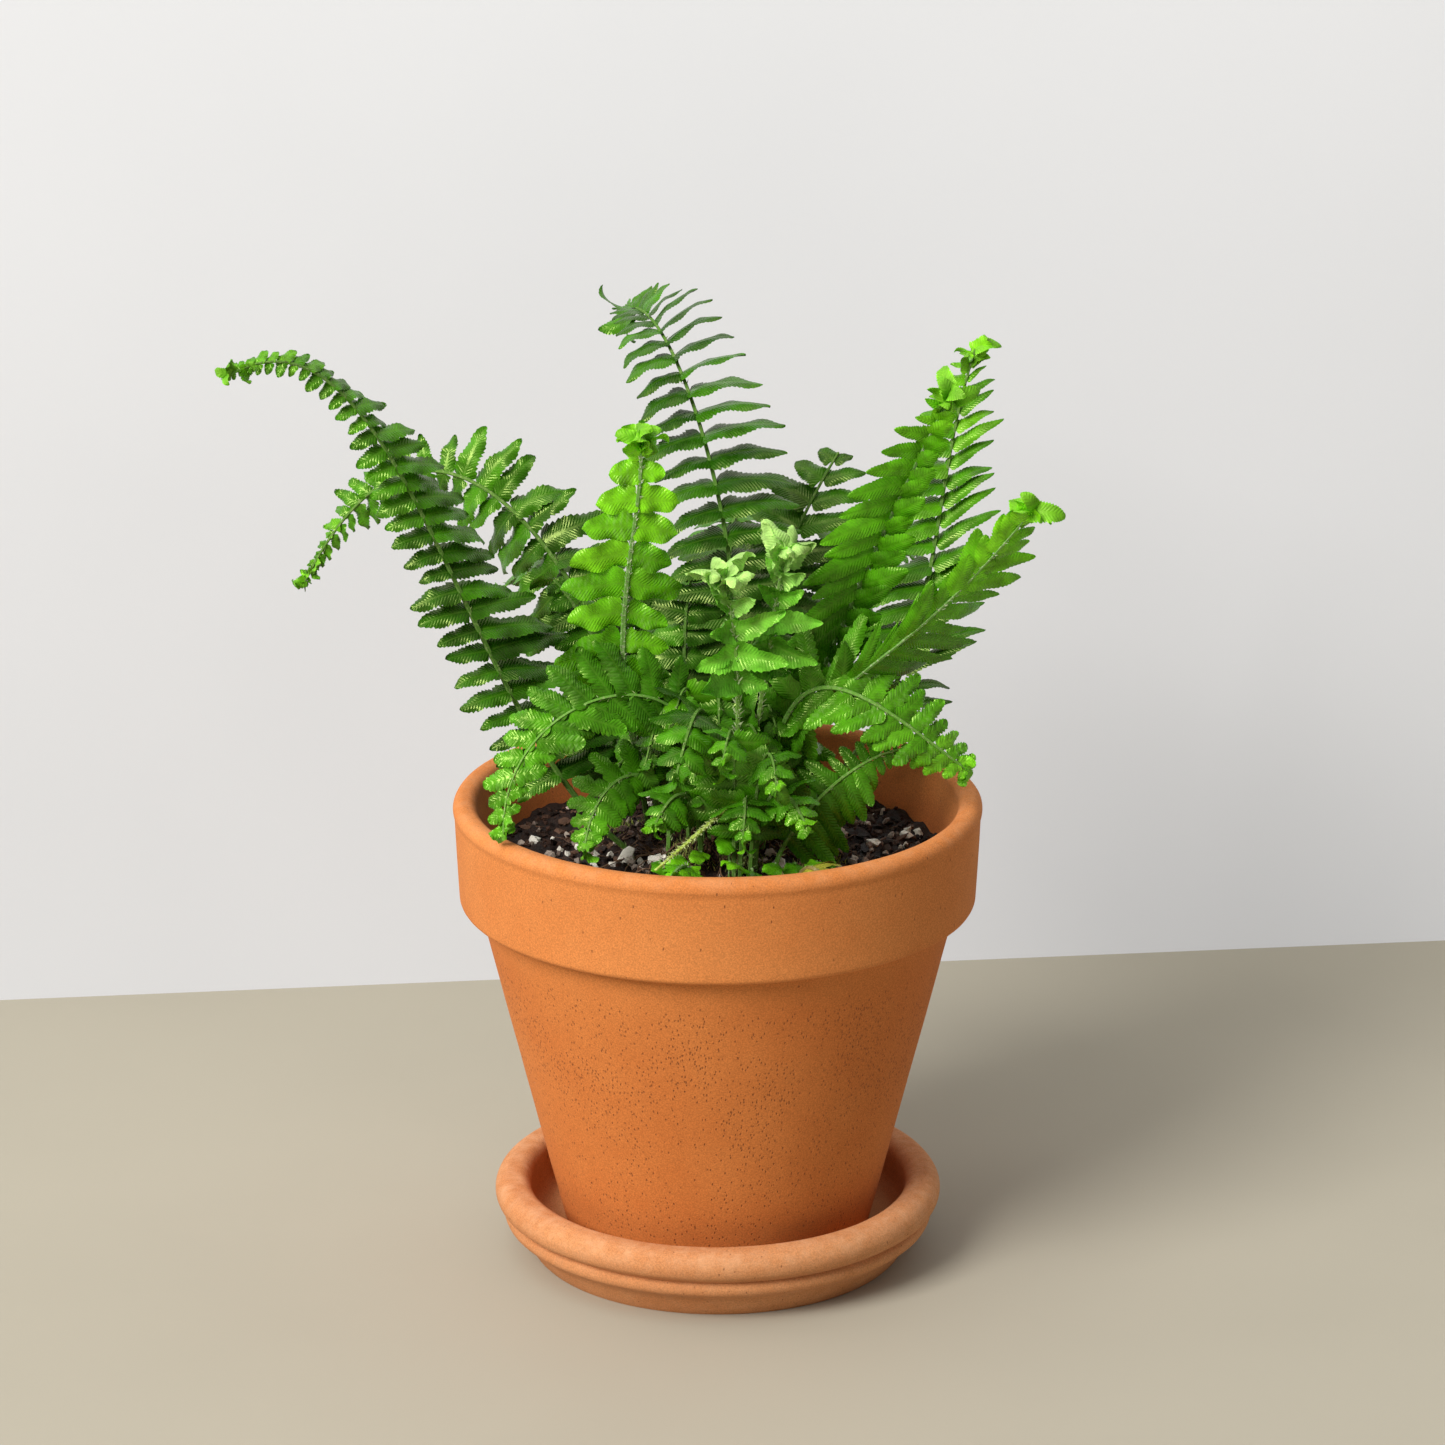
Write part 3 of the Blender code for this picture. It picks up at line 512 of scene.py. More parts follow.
def make_soil():
    """A filling whose top is the soil's level on rings, with sides along the pot's wall."""
    bottom = POT_BASE + POT_FLOOR + 0.0003
    angles = np.arange(SOIL_STEPS) * 2.0 * math.pi / SOIL_STEPS
    rim = wall_inside(SOIL_EDGE) + SOIL_INTO_WALL
    foot = wall_inside(bottom) - 0.0003
    shares = np.linspace(1.0, 1.0 / SOIL_RINGS, SOIL_RINGS)[:, None]
    x = np.append(rim * shares * np.cos(angles), 0.0)
    y = np.append(rim * shares * np.sin(angles), 0.0)
    base = np.column_stack([foot * np.cos(angles), foot * np.sin(angles),
                            np.full(SOIL_STEPS, bottom)])
    points = np.vstack([base, np.column_stack([x, y, soil_surface(x, y)]), bottom * UP])
    middle = len(points) - 2
    faces = ring_faces(SOIL_RINGS + 1, SOIL_STEPS).tolist()
    faces += fan_faces(middle - SOIL_STEPS, SOIL_STEPS, middle).tolist()
    faces += fan_faces(0, SOIL_STEPS, middle + 1)[:, ::-1].tolist()
    piece = make_piece("soil_filling", points, faces, {}, soil_finish(), 180.0)
    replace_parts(piece, "soil")


make_soil()


def turns_about(axis, angles):
    """Rotation matrices about the X, Y or Z axis, which are numbered 0, 1 and 2."""
    i, j = (axis + 1) % 3, (axis + 2) % 3
    turns = np.zeros((len(angles), 3, 3))
    turns[:, axis, axis] = 1.0
    turns[:, i, i] = turns[:, j, j] = np.cos(angles)
    turns[:, j, i] = np.sin(angles)
    turns[:, i, j] = -np.sin(angles)
    return turns


def random_turns(draw, count, tilt):
    """Rotation matrices: a random turn about Z, after a random lean of up to tilt radians."""
    turn = draw.uniform(0.0, 2.0 * math.pi, count)
    lean = draw.uniform(-tilt, tilt, count)
    roll = draw.uniform(-tilt, tilt, count)
    return turns_about(2, turn) @ turns_about(1, lean) @ turns_about(0, roll)


def ball(rings, sides):
    """A unit ball of rings and sides with a point at each pole, and its triangles."""
    heights = np.cos(np.linspace(0.0, math.pi, rings + 2))[1:-1]
    angles = np.arange(sides) * 2.0 * math.pi / sides
    width = np.sqrt(1.0 - heights ** 2)[:, None]
    points = np.stack([width * np.cos(angles), width * np.sin(angles),
                       np.repeat(heights[:, None], sides, axis=1)], axis=-1).reshape(-1, 3)
    end = len(points)
    quads = ring_faces(rings, sides)
    faces = np.vstack([fan_faces(0, sides, end), fan_faces(end - sides, sides, end + 1)[:, ::-1],
                       quads[:, [0, 3, 2]], quads[:, [0, 2, 1]]])
    return np.vstack([points, UP, -UP]), faces


def scattered(shape, places, sizes, turns, draw, rough):
    """Copies of a shape: each corner shaken by rough, stretched, turned and put in its place."""
    points, faces = shape
    count = len(places)
    shaken = points[None] * (1.0 + rough * draw.uniform(-1.0, 1.0, (count, len(points), 1)))
    shaken = shaken * sizes[:, None, :]
    placed = np.einsum("nij,nkj->nki", turns, shaken) + places[:, None, :]
    offsets = np.arange(count)[:, None, None] * len(points)
    return placed.reshape(-1, 3), (faces[None] + offsets).reshape(-1, faces.shape[1])


def on_soil(draw, count, inner, outer):
    """Random places on the soil between two radii, as x, y and the soil's level."""
    radius = np.sqrt(draw.uniform(inner ** 2, outer ** 2, count))
    angle = draw.uniform(0.0, 2.0 * math.pi, count)
    x, y = radius * np.cos(angle), radius * np.sin(angle)
    return np.column_stack([x, y, soil_surface(x, y)])


def read_value(tree, name):
    """A value that the mesh holds at its points."""
    return put(tree, "ShaderNodeAttribute", attribute_name=name).outputs["Fac"]


def bits_finish(name, dark, pale, roughness, depth):
    """Chips or lumps whose tone value picks a colour from dark to pale, with a fine crust."""
    material, tree, shader, place = new_material(name)
    crust = grain(place, 2300.0, 4.0, 0.7)
    tone = plus(read_value(tree, "tone"), slope(crust, 0.3, 0.7, -0.16, 0.16))
    color = blend_colors(slope(tone, 0.0, 1.0), dark, pale)
    cover(shader, color, crust, 0.8, depth, roughness, 0.18)
    return material


def make_bits(name, material, shape, places, sizes, tilt, tones, draw, rough):
    """One piece of many loose bits, each with a tone of its own."""
    turns = random_turns(draw, len(places), tilt)
    points, faces = scattered(shape, places, sizes, turns, draw, rough)
    values = {"tone": np.repeat(tones, len(shape[0]))}
    return make_piece(name, points, faces.tolist(), values, material, 24.0)


def make_litter():
    """Bark shreds, crumbs, grit and puffed rock, seeded, each seated in the soil's surface."""
    draw = np.random.RandomState(21)
    reach = wall_inside(SOIL_EDGE) - 0.0022
    places = on_soil(draw, BARK_COUNT, 0.010, reach)
    length = draw.uniform(0.0007, 0.0025, BARK_COUNT)
    sizes = np.column_stack([length, length * draw.uniform(0.28, 0.6, BARK_COUNT),
                             length * draw.uniform(0.16, 0.34, BARK_COUNT)])
    places[:, 2] += sizes[:, 2] * 0.5
    make_bits("bark_shreds", bits_finish("bark shreds", (0.007, 0.003, 0.002),
                                         (0.140, 0.072, 0.044), 0.50, 0.0003),
              ball(2, 6), places, sizes, 0.55, draw.uniform(0.0, 0.9, BARK_COUNT) ** 1.3, draw, 0.3)

    places = on_soil(draw, CRUMB_COUNT, 0.006, reach + 0.0008)
    size = draw.uniform(0.0003, 0.0009, CRUMB_COUNT)
    places[:, 2] += size * 0.4
    sizes = size[:, None] * draw.uniform(0.7, 1.2, (CRUMB_COUNT, 3))
    make_bits("soil_crumbs", bits_finish("soil crumbs", (0.008, 0.004, 0.003),
                                         (0.060, 0.028, 0.017), 0.8, 0.0002),
              ball(1, 5), places, sizes, 3.0, draw.uniform(0.0, 1.0, CRUMB_COUNT), draw, 0.25)

    places = on_soil(draw, GRIT_COUNT, 0.016, reach)
    size = draw.uniform(0.0005, 0.0016, GRIT_COUNT)
    places[:, 2] += size * 0.5
    sizes = size[:, None] * draw.uniform(0.5, 1.2, (GRIT_COUNT, 3))
    make_bits("grey_grit", bits_finish("grey grit", (0.06, 0.032, 0.022), (0.58, 0.48, 0.40),
                                       0.35, 0.0003),
              ball(2, 5), places, sizes, 3.0, draw.uniform(0.1, 1.0, GRIT_COUNT), draw, 0.3)

    places = on_soil(draw, PUFF_COUNT, 0.020, reach - 0.001)
    size = draw.uniform(0.0005, 0.0015, PUFF_COUNT)
    x, y, big = np.array(BIG_PUFFS).T
    places = np.vstack([places, np.column_stack([x, y, soil_surface(x, y)])])
    size = np.concatenate([size, big * 0.8])
    places[:, 2] += size * 0.35
    sizes = size[:, None] * draw.uniform(0.65, 1.15, (len(size), 3))
    sizes[:, 2] = np.minimum(sizes[:, 2], 0.0019)
    clean = np.concatenate([draw.uniform(0.45, 1.0, PUFF_COUNT), np.ones(len(big))])
    make_bits("puffed_rock", bits_finish("puffed rock", (0.30, 0.24, 0.18), (0.86, 0.82, 0.72),
                                         0.75, 0.0004),
              ball(3, 6), places, sizes, 0.5, clean, draw, 0.36)


make_litter()


# Fronds
# Each frond is one growth: a grooved rachis that rises from the crown, green leaflets in pairs
# along it, and whitish scales on the stem. It follows its solid's curve and its way of holding
# the leaflets, with small changes where the photo asked for them.

STEM_DEPTH = 0.0060
STUB_HEIGHT = 0.0010
STEM_RADIUS = 0.0010
TIP_RADIUS = 0.0004
STEM_CORNER = 0.8
CURVE_STEPS = 240
LEAST_FACING = 0.45
LOWEST_SHARE = 0.78
FULL_FROM = 0.22
TIP_SHORTENING = 0.86
TIP_LEAN = 22.0
LENGTH_SPREAD = 0.07
LEAN_SPREAD = 2.0
DROOP_SPREAD = 7.0
TWIST_SPREAD = 3.0
THICKNESS = 0.00026
MIDRIB_GROOVE = 0.00011
BUD_START = 0.955
VEIN_SPACING = 0.00085
ACROSS = np.array([-1.0, -0.72, -0.32, 0.0, 0.32, 0.72, 1.0])
TUBE_SIDES = 10
RACHIS_STEPS = 90
STEM_GROOVE = 0.28
STEM_GROOVE_WIDTH = 0.42
KNOB_SIZE = 0.0022
VEIN_SLANT = 0.75
RUFFLE_WAVES = 1.7
# Painted sheen: how pale leaflets without ridges are painted, and how far each pale patch spreads
# along a leaflet.
PAINTED_SHEEN_UNRIDGED = 0.10
PAINTED_SHEEN_SPREAD = 0.28
BREADTH_SCALE = 1.1
LEAST_BREADTH = 0.012
TONE_SPREAD = 0.17
CURL = (-4.0, 22.0)
BUD_TURN = 2.4
VEIN_COLOR = (0.26, 0.49, 0.06)
# Painted sheen: the pale colour that stands in for highlights on the leaflets.
PAINTED_SHEEN_COLOR = (0.31, 0.60, 0.13)
UNDER_COLOR = (0.10, 0.27, 0.03)
LEAF_SHEEN = (0.80, 1.0, 0.30, 1.0)


@dataclass
class Frond:
    """A frond's layout, after its solid's, and then its looks.

    Layout: root, the curve's handles rise and arch, tip, leaflet pairs, length and breadth,
    bare share of the stem, where the upper side faces at foot and tip, and how the leaflets on
    the left and right are held: their lean to the tip and fold to the upper side in degrees,
    how far they hang, and their share of full length, with a tuple of its own where the tip
    differs, and widths, how broad each row is beside the other. Then their droop, how level
    they lie at foot and tip, how they taper and crowd to the tip, the share of the room between
    pairs that they fill, and how unruly they are.

    Looks: teeth on each margin, how deep, and the smooth share before them, how blunt the
    leaflets end, how their margins turn down, wave and sweep back, ridges between veins, youth
    from 0 dark to 1 bright at foot and tip, the stem's thickness, its scales and their length,
    the leaflets still curled up at the very tip, as a count and a length, and the stem's knobs.
    """
    name: str
    root: tuple
    rise: tuple
    arch: tuple
    tip: tuple
    pairs: int
    length: float
    breadth: float = 0.36
    bare: float = 0.25
    face: tuple = (0.0, -1.0, 0.3)
    tip_face: tuple = (0.0, -0.5, 0.8)
    left: tuple = (10.0, 4.0, 0.15, 1.0)
    right: tuple = (10.0, 4.0, 0.15, 1.0)
    tip_left: tuple = ()
    tip_right: tuple = ()
    widths: tuple = (1.0, 1.0)
    droop: float = 25.0
    level: float = 0.25
    tip_level: float = 0.40
    taper: float = 2.0
    crowding: float = 1.18
    room: float = 1.15
    unruly: float = 1.5
    teeth: int = 12
    notch: float = 0.13
    smooth: float = 0.0
    blunt: float = 2.6
    turned_down: float = 0.20
    ruffle: float = 0.05
    sweep: float = 0.03
    ridge: float = 0.0
    youth: tuple = (0.10, 0.45)
    thick: float = 0.78
    scales: int = 60
    fur: float = 0.0008
    bud: tuple = (0, 0.0)
    knobs: float = 0.0


def rachis_curve(frond):
    """Points of the cubic Bezier from the stub to the tip, and their arc-length shares."""
    x, y = frond.root
    foot = (x, y, soil_height(x, y) + STUB_HEIGHT)
    t = np.linspace(0.0, 1.0, CURVE_STEPS + 1)[:, None]
    a, b, c, d = (np.array(p) for p in (foot, frond.rise, frond.arch, frond.tip))
    points = (1 - t) ** 3 * a + 3 * (1 - t) ** 2 * t * b + 3 * (1 - t) * t * t * c + t ** 3 * d
    steps = np.linalg.norm(np.diff(points, axis=0), axis=1)
    return points, np.concatenate([[0.0], np.cumsum(steps)]) / steps.sum()


def rachis_frames(frond, at):
    """Position, tangent and upward normal of the rachis at each arc-length share."""
    points, shares = rachis_curve(frond)

    def read(where):
        return np.column_stack([np.interp(where, shares, points[:, k]) for k in range(3)])

    step = 0.5 / CURVE_STEPS
    tangent = unit(read(np.minimum(at + step, 1.0)) - read(np.maximum(at - step, 0.0)))
    face = unit(frond.face) + at[:, None] * (unit(frond.tip_face) - unit(frond.face))
    normal = unit(face - (face * tangent).sum(axis=1)[:, None] * tangent)
    return read(at), tangent, normal


def pair_stations(frond):
    """Arc-length shares between which the leaflet pairs stand, closer towards the tip."""
    share = np.linspace(0.0, 1.0, frond.pairs + 1)
    return frond.bare + (1.0 - frond.bare) * (1.0 - (1.0 - share) ** frond.crowding)


def stem_radius(at):
    """Radius of the rachis, which thins evenly to its tip."""
    return STEM_RADIUS + (TIP_RADIUS - STEM_RADIUS) * at


def leaflet_reach(frond, share):
    """Leaflet length: nearly full from the lowest pair on, then tapering to the tip."""
    start = LOWEST_SHARE + (1.0 - LOWEST_SHARE) * min(1.0, share / FULL_FROM)
    return frond.length * start * (1.0 - TIP_SHORTENING * share ** frond.taper)


def leaflet_axes(tangent, normal, side, held, level, twist):
    """A leaflet's way out, its width towards the frond's tip, and its upper side, at its base.

    held is the lean and fold in degrees and the step down that its own weight adds. level turns
    the upper side from the frond's own towards the sky, and twist turns it about the way out.
    """
    lean, fold, twist = math.radians(held[0]), math.radians(held[1]), math.radians(twist)
    across = np.cross(tangent, normal) * side
    out = math.cos(lean) * (math.cos(fold) * across + math.sin(fold) * normal)
    out = unit(out + math.sin(lean) * tangent - held[2] * UP)
    upper = (1.0 - level) * normal + level * UP
    upper = unit(upper - upper.dot(out) * out)
    width = np.cross(upper, out) * side
    return (out, math.cos(twist) * width + math.sin(twist) * upper,
            math.cos(twist) * upper - math.sin(twist) * width)


def midrib(base, axes, reach, droop, u, curl=0.0):
    """Points and upper normals along a midrib that bends down by droop, and at its end by curl,
    both in degrees: at each step it heads out and down by the angle it has reached."""
    out, _, upper = axes
    bend = math.radians(droop) * u + math.radians(curl) * u ** 3
    middle = np.concatenate([[bend[0]], (bend[1:] + bend[:-1]) / 2])
    stride = np.diff(np.concatenate([[0.0], u]))[:, None] * reach
    ahead = np.cos(middle)[:, None] * out - np.sin(middle)[:, None] * upper
    line = base + np.cumsum(stride * ahead, axis=0)
    return line, np.cos(bend)[:, None] * upper + np.sin(bend)[:, None] * out


def leaflet_outline(frond, breadth, draw):
    """Rows along a leaflet and its two half widths at each row.

    The half width rises quickly from the stalk, bulges in an ear at the front of the base, and
    closes as (1 - u^blunt)^0.62 at the tip. Teeth rise slowly and fall back sharply.
    """
    places = np.array((0.0, 0.45, 0.82) if frond.ridge else (0.0, 0.76))
    rises = np.array((0.0, 0.65, 1.0) if frond.ridge else (0.0, 1.0))
    edges = np.linspace(0.08, 0.97, frond.teeth + 1)
    rows = edges[:-1, None] + (edges[1] - edges[0]) * places
    u = np.concatenate([[0.0, 0.035], rows.ravel(), [0.975, 1.0]])
    deep = np.clip((edges[:-1] - frond.smooth) / 0.1, 0.0, 1.0)
    rise = 1.0 - 0.30 * (1.0 - np.minimum(u / 0.07, 1.0)) ** 2
    close = np.maximum(1.0 - u ** frond.blunt, 0.0) ** 0.62
    ear = 0.12 * np.exp(-((u - 0.12) / 0.08) ** 2)
    halves = []
    for share in (0.50 * rise + ear, 0.50 * rise):
        depth = (frond.notch * deep * draw.uniform(0.45, 1.5, frond.teeth))[:, None]
        cut = 1.0 - depth * (1.0 - rises)
        cut = np.concatenate([[1.0, 1.0], cut.ravel(), [1.0, 1.0]])
        halves.append(np.maximum(breadth * share * close * cut, LEAST_BREADTH * breadth))
    return u, halves[0], halves[1]


def shell_faces(rows, columns, flip):
    """Faces of a thin closed shell: an upper grid, and a lower one that shares its border."""
    upper = np.arange(rows * columns).reshape(rows, columns)
    lower = upper.copy()
    inner = (rows - 2) * (columns - 2)
    lower[1:-1, 1:-1] = rows * columns + np.arange(inner).reshape(rows - 2, columns - 2)
    sheets = []
    for grid, turned in ((upper, flip), (lower, not flip)):
        quads = np.stack([grid[:-1, :-1], grid[1:, :-1], grid[1:, 1:], grid[:-1, 1:]], axis=-1)
        quads = quads.reshape(-1, 4)
        sheets.append(quads[:, ::-1] if turned else quads)
    return np.vstack(sheets)


class Growth:
    """Gathers the surfaces of one plant piece, and the values that its finish reads.

    vein counts the side veins, across is 0 on the midrib and 1 on the margin, tone is the
    youth, part is 0 on leaflets, 0.5 on stems and 1 on scales, under is 1 below a leaflet, and
    the last value is a painted sheen: how far the surface is painted paler, as a highlight.
    """

    KEYS = ("vein", "across", "tone", "part", "under", "wax")

    def __init__(self):
        self.points = []
        self.faces = []
        self.values = {key: [] for key in self.KEYS}
        self.count = 0

    def add(self, points, *sheets, **values):
        """Take in points, the faces of one or more sheets on them, and their values."""
        self.points.append(points)
        for faces in sheets:
            self.faces += (faces + self.count).tolist()
        self.count += len(points)
        for key, rows in self.values.items():
            rows.append(np.broadcast_to(values.get(key, 0.0), (len(points),)))

    def finish(self, name, material, slot_name):
        """The piece made of all that was taken in."""
        values = {key: np.concatenate(rows) for key, rows in self.values.items()}
        return make_piece(name, np.vstack(self.points), self.faces, values, material)


def add_leaflet(growth, frond, base, axes, side, reach, breadth, droop, tone, draw, curl=0.0):
    """A toothed leaflet: its outline across the midrib, turned down at the margins, waved along
    them, grooved on the midrib, and ridged between its side veins."""
    u, front, back = leaflet_outline(frond, breadth, draw)
    line, upper = midrib(base, axes, reach, droop, u, curl)
    v = ACROSS[None, :]
    half = np.where(v > 0, front[:, None], back[:, None])
    sideways = v * half - frond.sweep * reach * (u ** 2)[:, None]
    vein = (u[:, None] * reach - VEIN_SLANT * np.abs(v) * half) / VEIN_SPACING
    wave = np.sin(2.0 * math.pi * (RUFFLE_WAVES * u + draw.uniform()))[:, None]
    height = -frond.turned_down * half * v ** 2 * draw.uniform(0.7, 1.3)
    height = height + frond.ruffle * breadth * wave * v ** 2
    height = height - MIDRIB_GROOVE * (np.abs(v) < 0.1)
    height = height + frond.ridge * np.sin(math.pi * vein) * np.abs(v) * (1.2 - v ** 2)
    surface = line[:, None] + sideways[..., None] * axes[1] + height[..., None] * upper[:, None]
    swell = np.minimum(1.0, np.sin(math.pi * u) * 4.0)[:, None] * np.sqrt(1.0 - v ** 2)
    beneath = surface - (THICKNESS * swell)[..., None] * upper[:, None]
    # Painted sheen: a pale patch on each leaflet, on its ridge crests where it has ridges, standing
    # in for highlights.
    crest = np.maximum(np.sin(math.pi * vein), 0.0) if frond.ridge else PAINTED_SHEEN_UNRIDGED
    patch = np.exp(-((u - draw.uniform(0.15, 0.8)) / PAINTED_SHEEN_SPREAD) ** 2)[:, None]
    wax = crest * patch * 4.0 * np.abs(v) * (1.0 - np.abs(v)) * draw.uniform(0.0, 1.0)

    def on_both(grid):
        return np.concatenate([grid.ravel(), grid[1:-1, 1:-1].ravel()])

    points = np.vstack([surface.reshape(-1, 3), beneath[1:-1, 1:-1].reshape(-1, 3)])
    growth.add(points, shell_faces(len(u), len(ACROSS), side < 0), vein=on_both(vein),
               across=on_both(np.broadcast_to(np.abs(v), vein.shape)), tone=tone,
               under=np.arange(len(points)) >= vein.size, wax=on_both(wax))


def add_tube(growth, line, normal, radius, tone):
    """A stem along a line: rings grooved on the upper side, with a point at each end."""
    tangent = unit(np.gradient(line, axis=0))
    normal = unit(normal - (normal * tangent).sum(axis=1)[:, None] * tangent)
    across = np.cross(tangent, normal)
    angle = np.arange(TUBE_SIDES) * 2.0 * math.pi / TUBE_SIDES + math.pi / 2
    from_top = np.abs((angle - math.pi / 2 + math.pi) % (2 * math.pi) - math.pi)
    grooved = 1.0 - STEM_GROOVE * np.exp(-(from_top / STEM_GROOVE_WIDTH) ** 2)
    around = (np.cos(angle) * grooved)[None, :, None] * across[:, None]
    around = around + (np.sin(angle) * grooved)[None, :, None] * normal[:, None]
    rings = (line[:, None] + radius[:, None, None] * around).reshape(-1, 3)
    end = len(rings)
    growth.add(np.vstack([rings, line[:1], line[-1:] + tangent[-1:] * radius[-1]]),
               ring_faces(len(line), TUBE_SIDES)[:, ::-1], fan_faces(0, TUBE_SIDES, end),
               fan_faces(end - TUBE_SIDES, TUBE_SIDES, end + 1)[:, ::-1], part=0.5, tone=tone)


def add_spikes(growth, roots, ways, lengths, widths, part=1.0, tone=0.5, sag=0.0):
    """Hairs or scales: three-sided spikes from root along way, with sag bending the end down."""
    ways = unit(ways)
    spare = np.where(np.abs(ways[:, 2:]) < 0.9, UP, [1.0, 0.0, 0.0])
    first = unit(np.cross(ways, spare))
    second = np.cross(ways, first)
    corners = []
    for share, height in ((1.0, 0.0), (0.7, 0.5)):
        drop = -sag * UP * height ** 2 * lengths[:, None]
        for angle in np.radians([90.0, 210.0, 330.0]):
            around = math.cos(angle) * first + math.sin(angle) * second
            corners.append(roots + ways * (height * lengths)[:, None] + drop
                           + around * (widths * share / 2)[:, None])
    tips = roots + ways * lengths[:, None] - sag * UP * lengths[:, None]
    points = np.stack(corners + [tips], axis=1)
    faces = np.array([(0, 2, 1), (0, 1, 4), (0, 4, 3), (1, 2, 5), (1, 5, 4), (2, 0, 3), (2, 3, 5),
                      (3, 4, 6), (4, 5, 6), (5, 3, 6)])
    offsets = np.arange(len(roots))[:, None, None] * 7
    growth.add(points.reshape(-1, 3), (faces[None] + offsets).reshape(-1, 3), part=part,
               tone=np.repeat(np.broadcast_to(tone, (len(roots),)), 7))


def add_fur(growth, frond, count, length, draw):
    """Scales along the stem: they lie nearly flat on it, point to the tip, and thin out there."""
    at = draw.uniform(0.0, 1.0, count) ** 1.25 * 0.96
    place, tangent, normal = rachis_frames(frond, at)
    turn = draw.uniform(0.0, 2.0 * math.pi, count)[:, None]
    out = np.cos(turn) * normal + np.sin(turn) * np.cross(tangent, normal)
    roots = place + out * (stem_radius(at) * 0.75)[:, None]
    ways = tangent * draw.uniform(0.3, 1.1, (count, 1)) + out * draw.uniform(0.25, 0.9, (count, 1))
    lengths = length * draw.uniform(0.6, 1.5, count)
    add_spikes(growth, roots, ways, lengths, lengths * draw.uniform(0.16, 0.34, count),
               tone=draw.uniform(0.2, 1.0, count))


def add_bud(growth, frond, draw):
    """Leaflets still curled up at the tip: short, crowded, leaning forward and bent inwards."""
    count, length = frond.bud
    place, tangent, normal = rachis_frames(frond, np.linspace(BUD_START, 1.0, count))
    for k in range(count):
        turn = BUD_TURN * k + draw.uniform(-0.4, 0.4)
        upward = unit(math.cos(turn) * normal[k]
                      + math.sin(turn) * np.cross(tangent[k], normal[k]))
        side = 1.0 if k % 2 else -1.0
        held = (draw.uniform(28, 62), 20.0, 0.0)
        axes = leaflet_axes(tangent[k], upward, side, held, 0.0, draw.uniform(-30, 30))
        reach = length * draw.uniform(0.75, 1.2)
        tone = min(1.0, frond.youth[1] + draw.uniform(0.0, 0.25))
        add_leaflet(growth, frond, place[k], axes, side, reach, reach * 0.62,
                    draw.uniform(-70, -20), tone, draw, curl=draw.uniform(-90, -20))


def held_at(foot, tip, along):
    """How a row's leaflets are held, from foot to tip by the square of the share of the way."""
    return np.array(foot) + (np.array(tip or foot) - np.array(foot)) * along ** 2


def add_pairs(growth, frond, draw):
    """The leaflets in pairs along the rachis, each held in its row's way.

    A leaflet's breadth is a share of its length that doubles, by the square of the share of the
    way, from foot to tip, as far as the room between the pairs allows.
    """
    stations = pair_stations(frond)
    mids = (stations[:-1] + stations[1:]) / 2
    ring, ring_tangent, ring_normal = rachis_frames(frond, stations)
    corner = STEM_CORNER * stem_radius(stations)
    ring_across = np.cross(ring_tangent, ring_normal) * corner[:, None]
    _, tangents, normals = rachis_frames(frond, mids)
    rows = ((-1.0, frond.left, frond.tip_left, frond.widths[0]),
            (1.0, frond.right, frond.tip_right, frond.widths[1]))
    for pair in range(frond.pairs):
        along = (mids[pair] - frond.bare) / (1.0 - frond.bare)
        level = min(1.0, frond.level + (frond.tip_level - frond.level) * along)
        for side, foot, tip, broad in rows:
            lean, fold, hang, share = held_at(foot, tip, along)
            reach = share * leaflet_reach(frond, along)
            reach *= 1.0 + LENGTH_SPREAD * frond.unruly * draw.uniform(-1, 1)
            lean += TIP_LEAN * along ** 4 + LEAN_SPREAD * frond.unruly * draw.uniform(-1, 1)
            droop = frond.droop + DROOP_SPREAD * frond.unruly * draw.uniform(-1, 1)
            twist = TWIST_SPREAD * frond.unruly * draw.uniform(-1, 1)
            axes = leaflet_axes(tangents[pair], normals[pair], side, (lean, fold, hang), level,
                                twist)
            room = frond.room * np.linalg.norm(ring[pair + 1] - ring[pair])
            room *= 1.0 - tangents[pair].dot(axes[0]) ** 2
            room /= max(tangents[pair].dot(axes[1]), LEAST_FACING)
            breadth = min(broad * frond.breadth * BREADTH_SCALE * (1.0 + along ** 2) * reach, room)
            edge = ring[pair:pair + 2].mean(axis=0)
            base = edge + 0.4 * side * ring_across[pair:pair + 2].mean(axis=0)
            tone = frond.youth[0] + (frond.youth[1] - frond.youth[0]) * along ** 1.4
            tone = np.clip(tone + draw.uniform(-TONE_SPREAD, TONE_SPREAD), 0.0, 1.0)
            add_leaflet(growth, frond, base, axes, side, reach, breadth, droop, tone, draw,
                        curl=draw.uniform(*CURL))


def grow_frond(growth, frond, draw):
    """Rachis, leaflets, the curled tip and the scales of a frond."""
    at = np.linspace(0.0, 1.0, RACHIS_STEPS)
    line, _, normal = rachis_frames(frond, at)
    x, y = frond.root
    sunk = [[x, y, soil_height(x, y) - STEM_DEPTH * 0.7]]
    radius = stem_radius(at) * frond.thick
    radius = radius * (1.0 + frond.knobs * lattice_noise(line, KNOB_SIZE, 8))
    add_tube(growth, np.vstack([sunk, line]), np.vstack([normal[:1], normal]),
             np.append(radius[0], radius), sum(frond.youth) / 2)
    add_pairs(growth, frond, draw)
    add_bud(growth, frond, draw)
    add_fur(growth, frond, frond.scales, frond.fur, draw)


def grow(frond, finish):
    """One frond in place of its solid."""
    growth = Growth()
    grow_frond(growth, frond, np.random.RandomState(len(frond.name) * 97 + frond.pairs))
    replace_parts(growth.finish(frond.name + "_grown", *finish), frond.name)


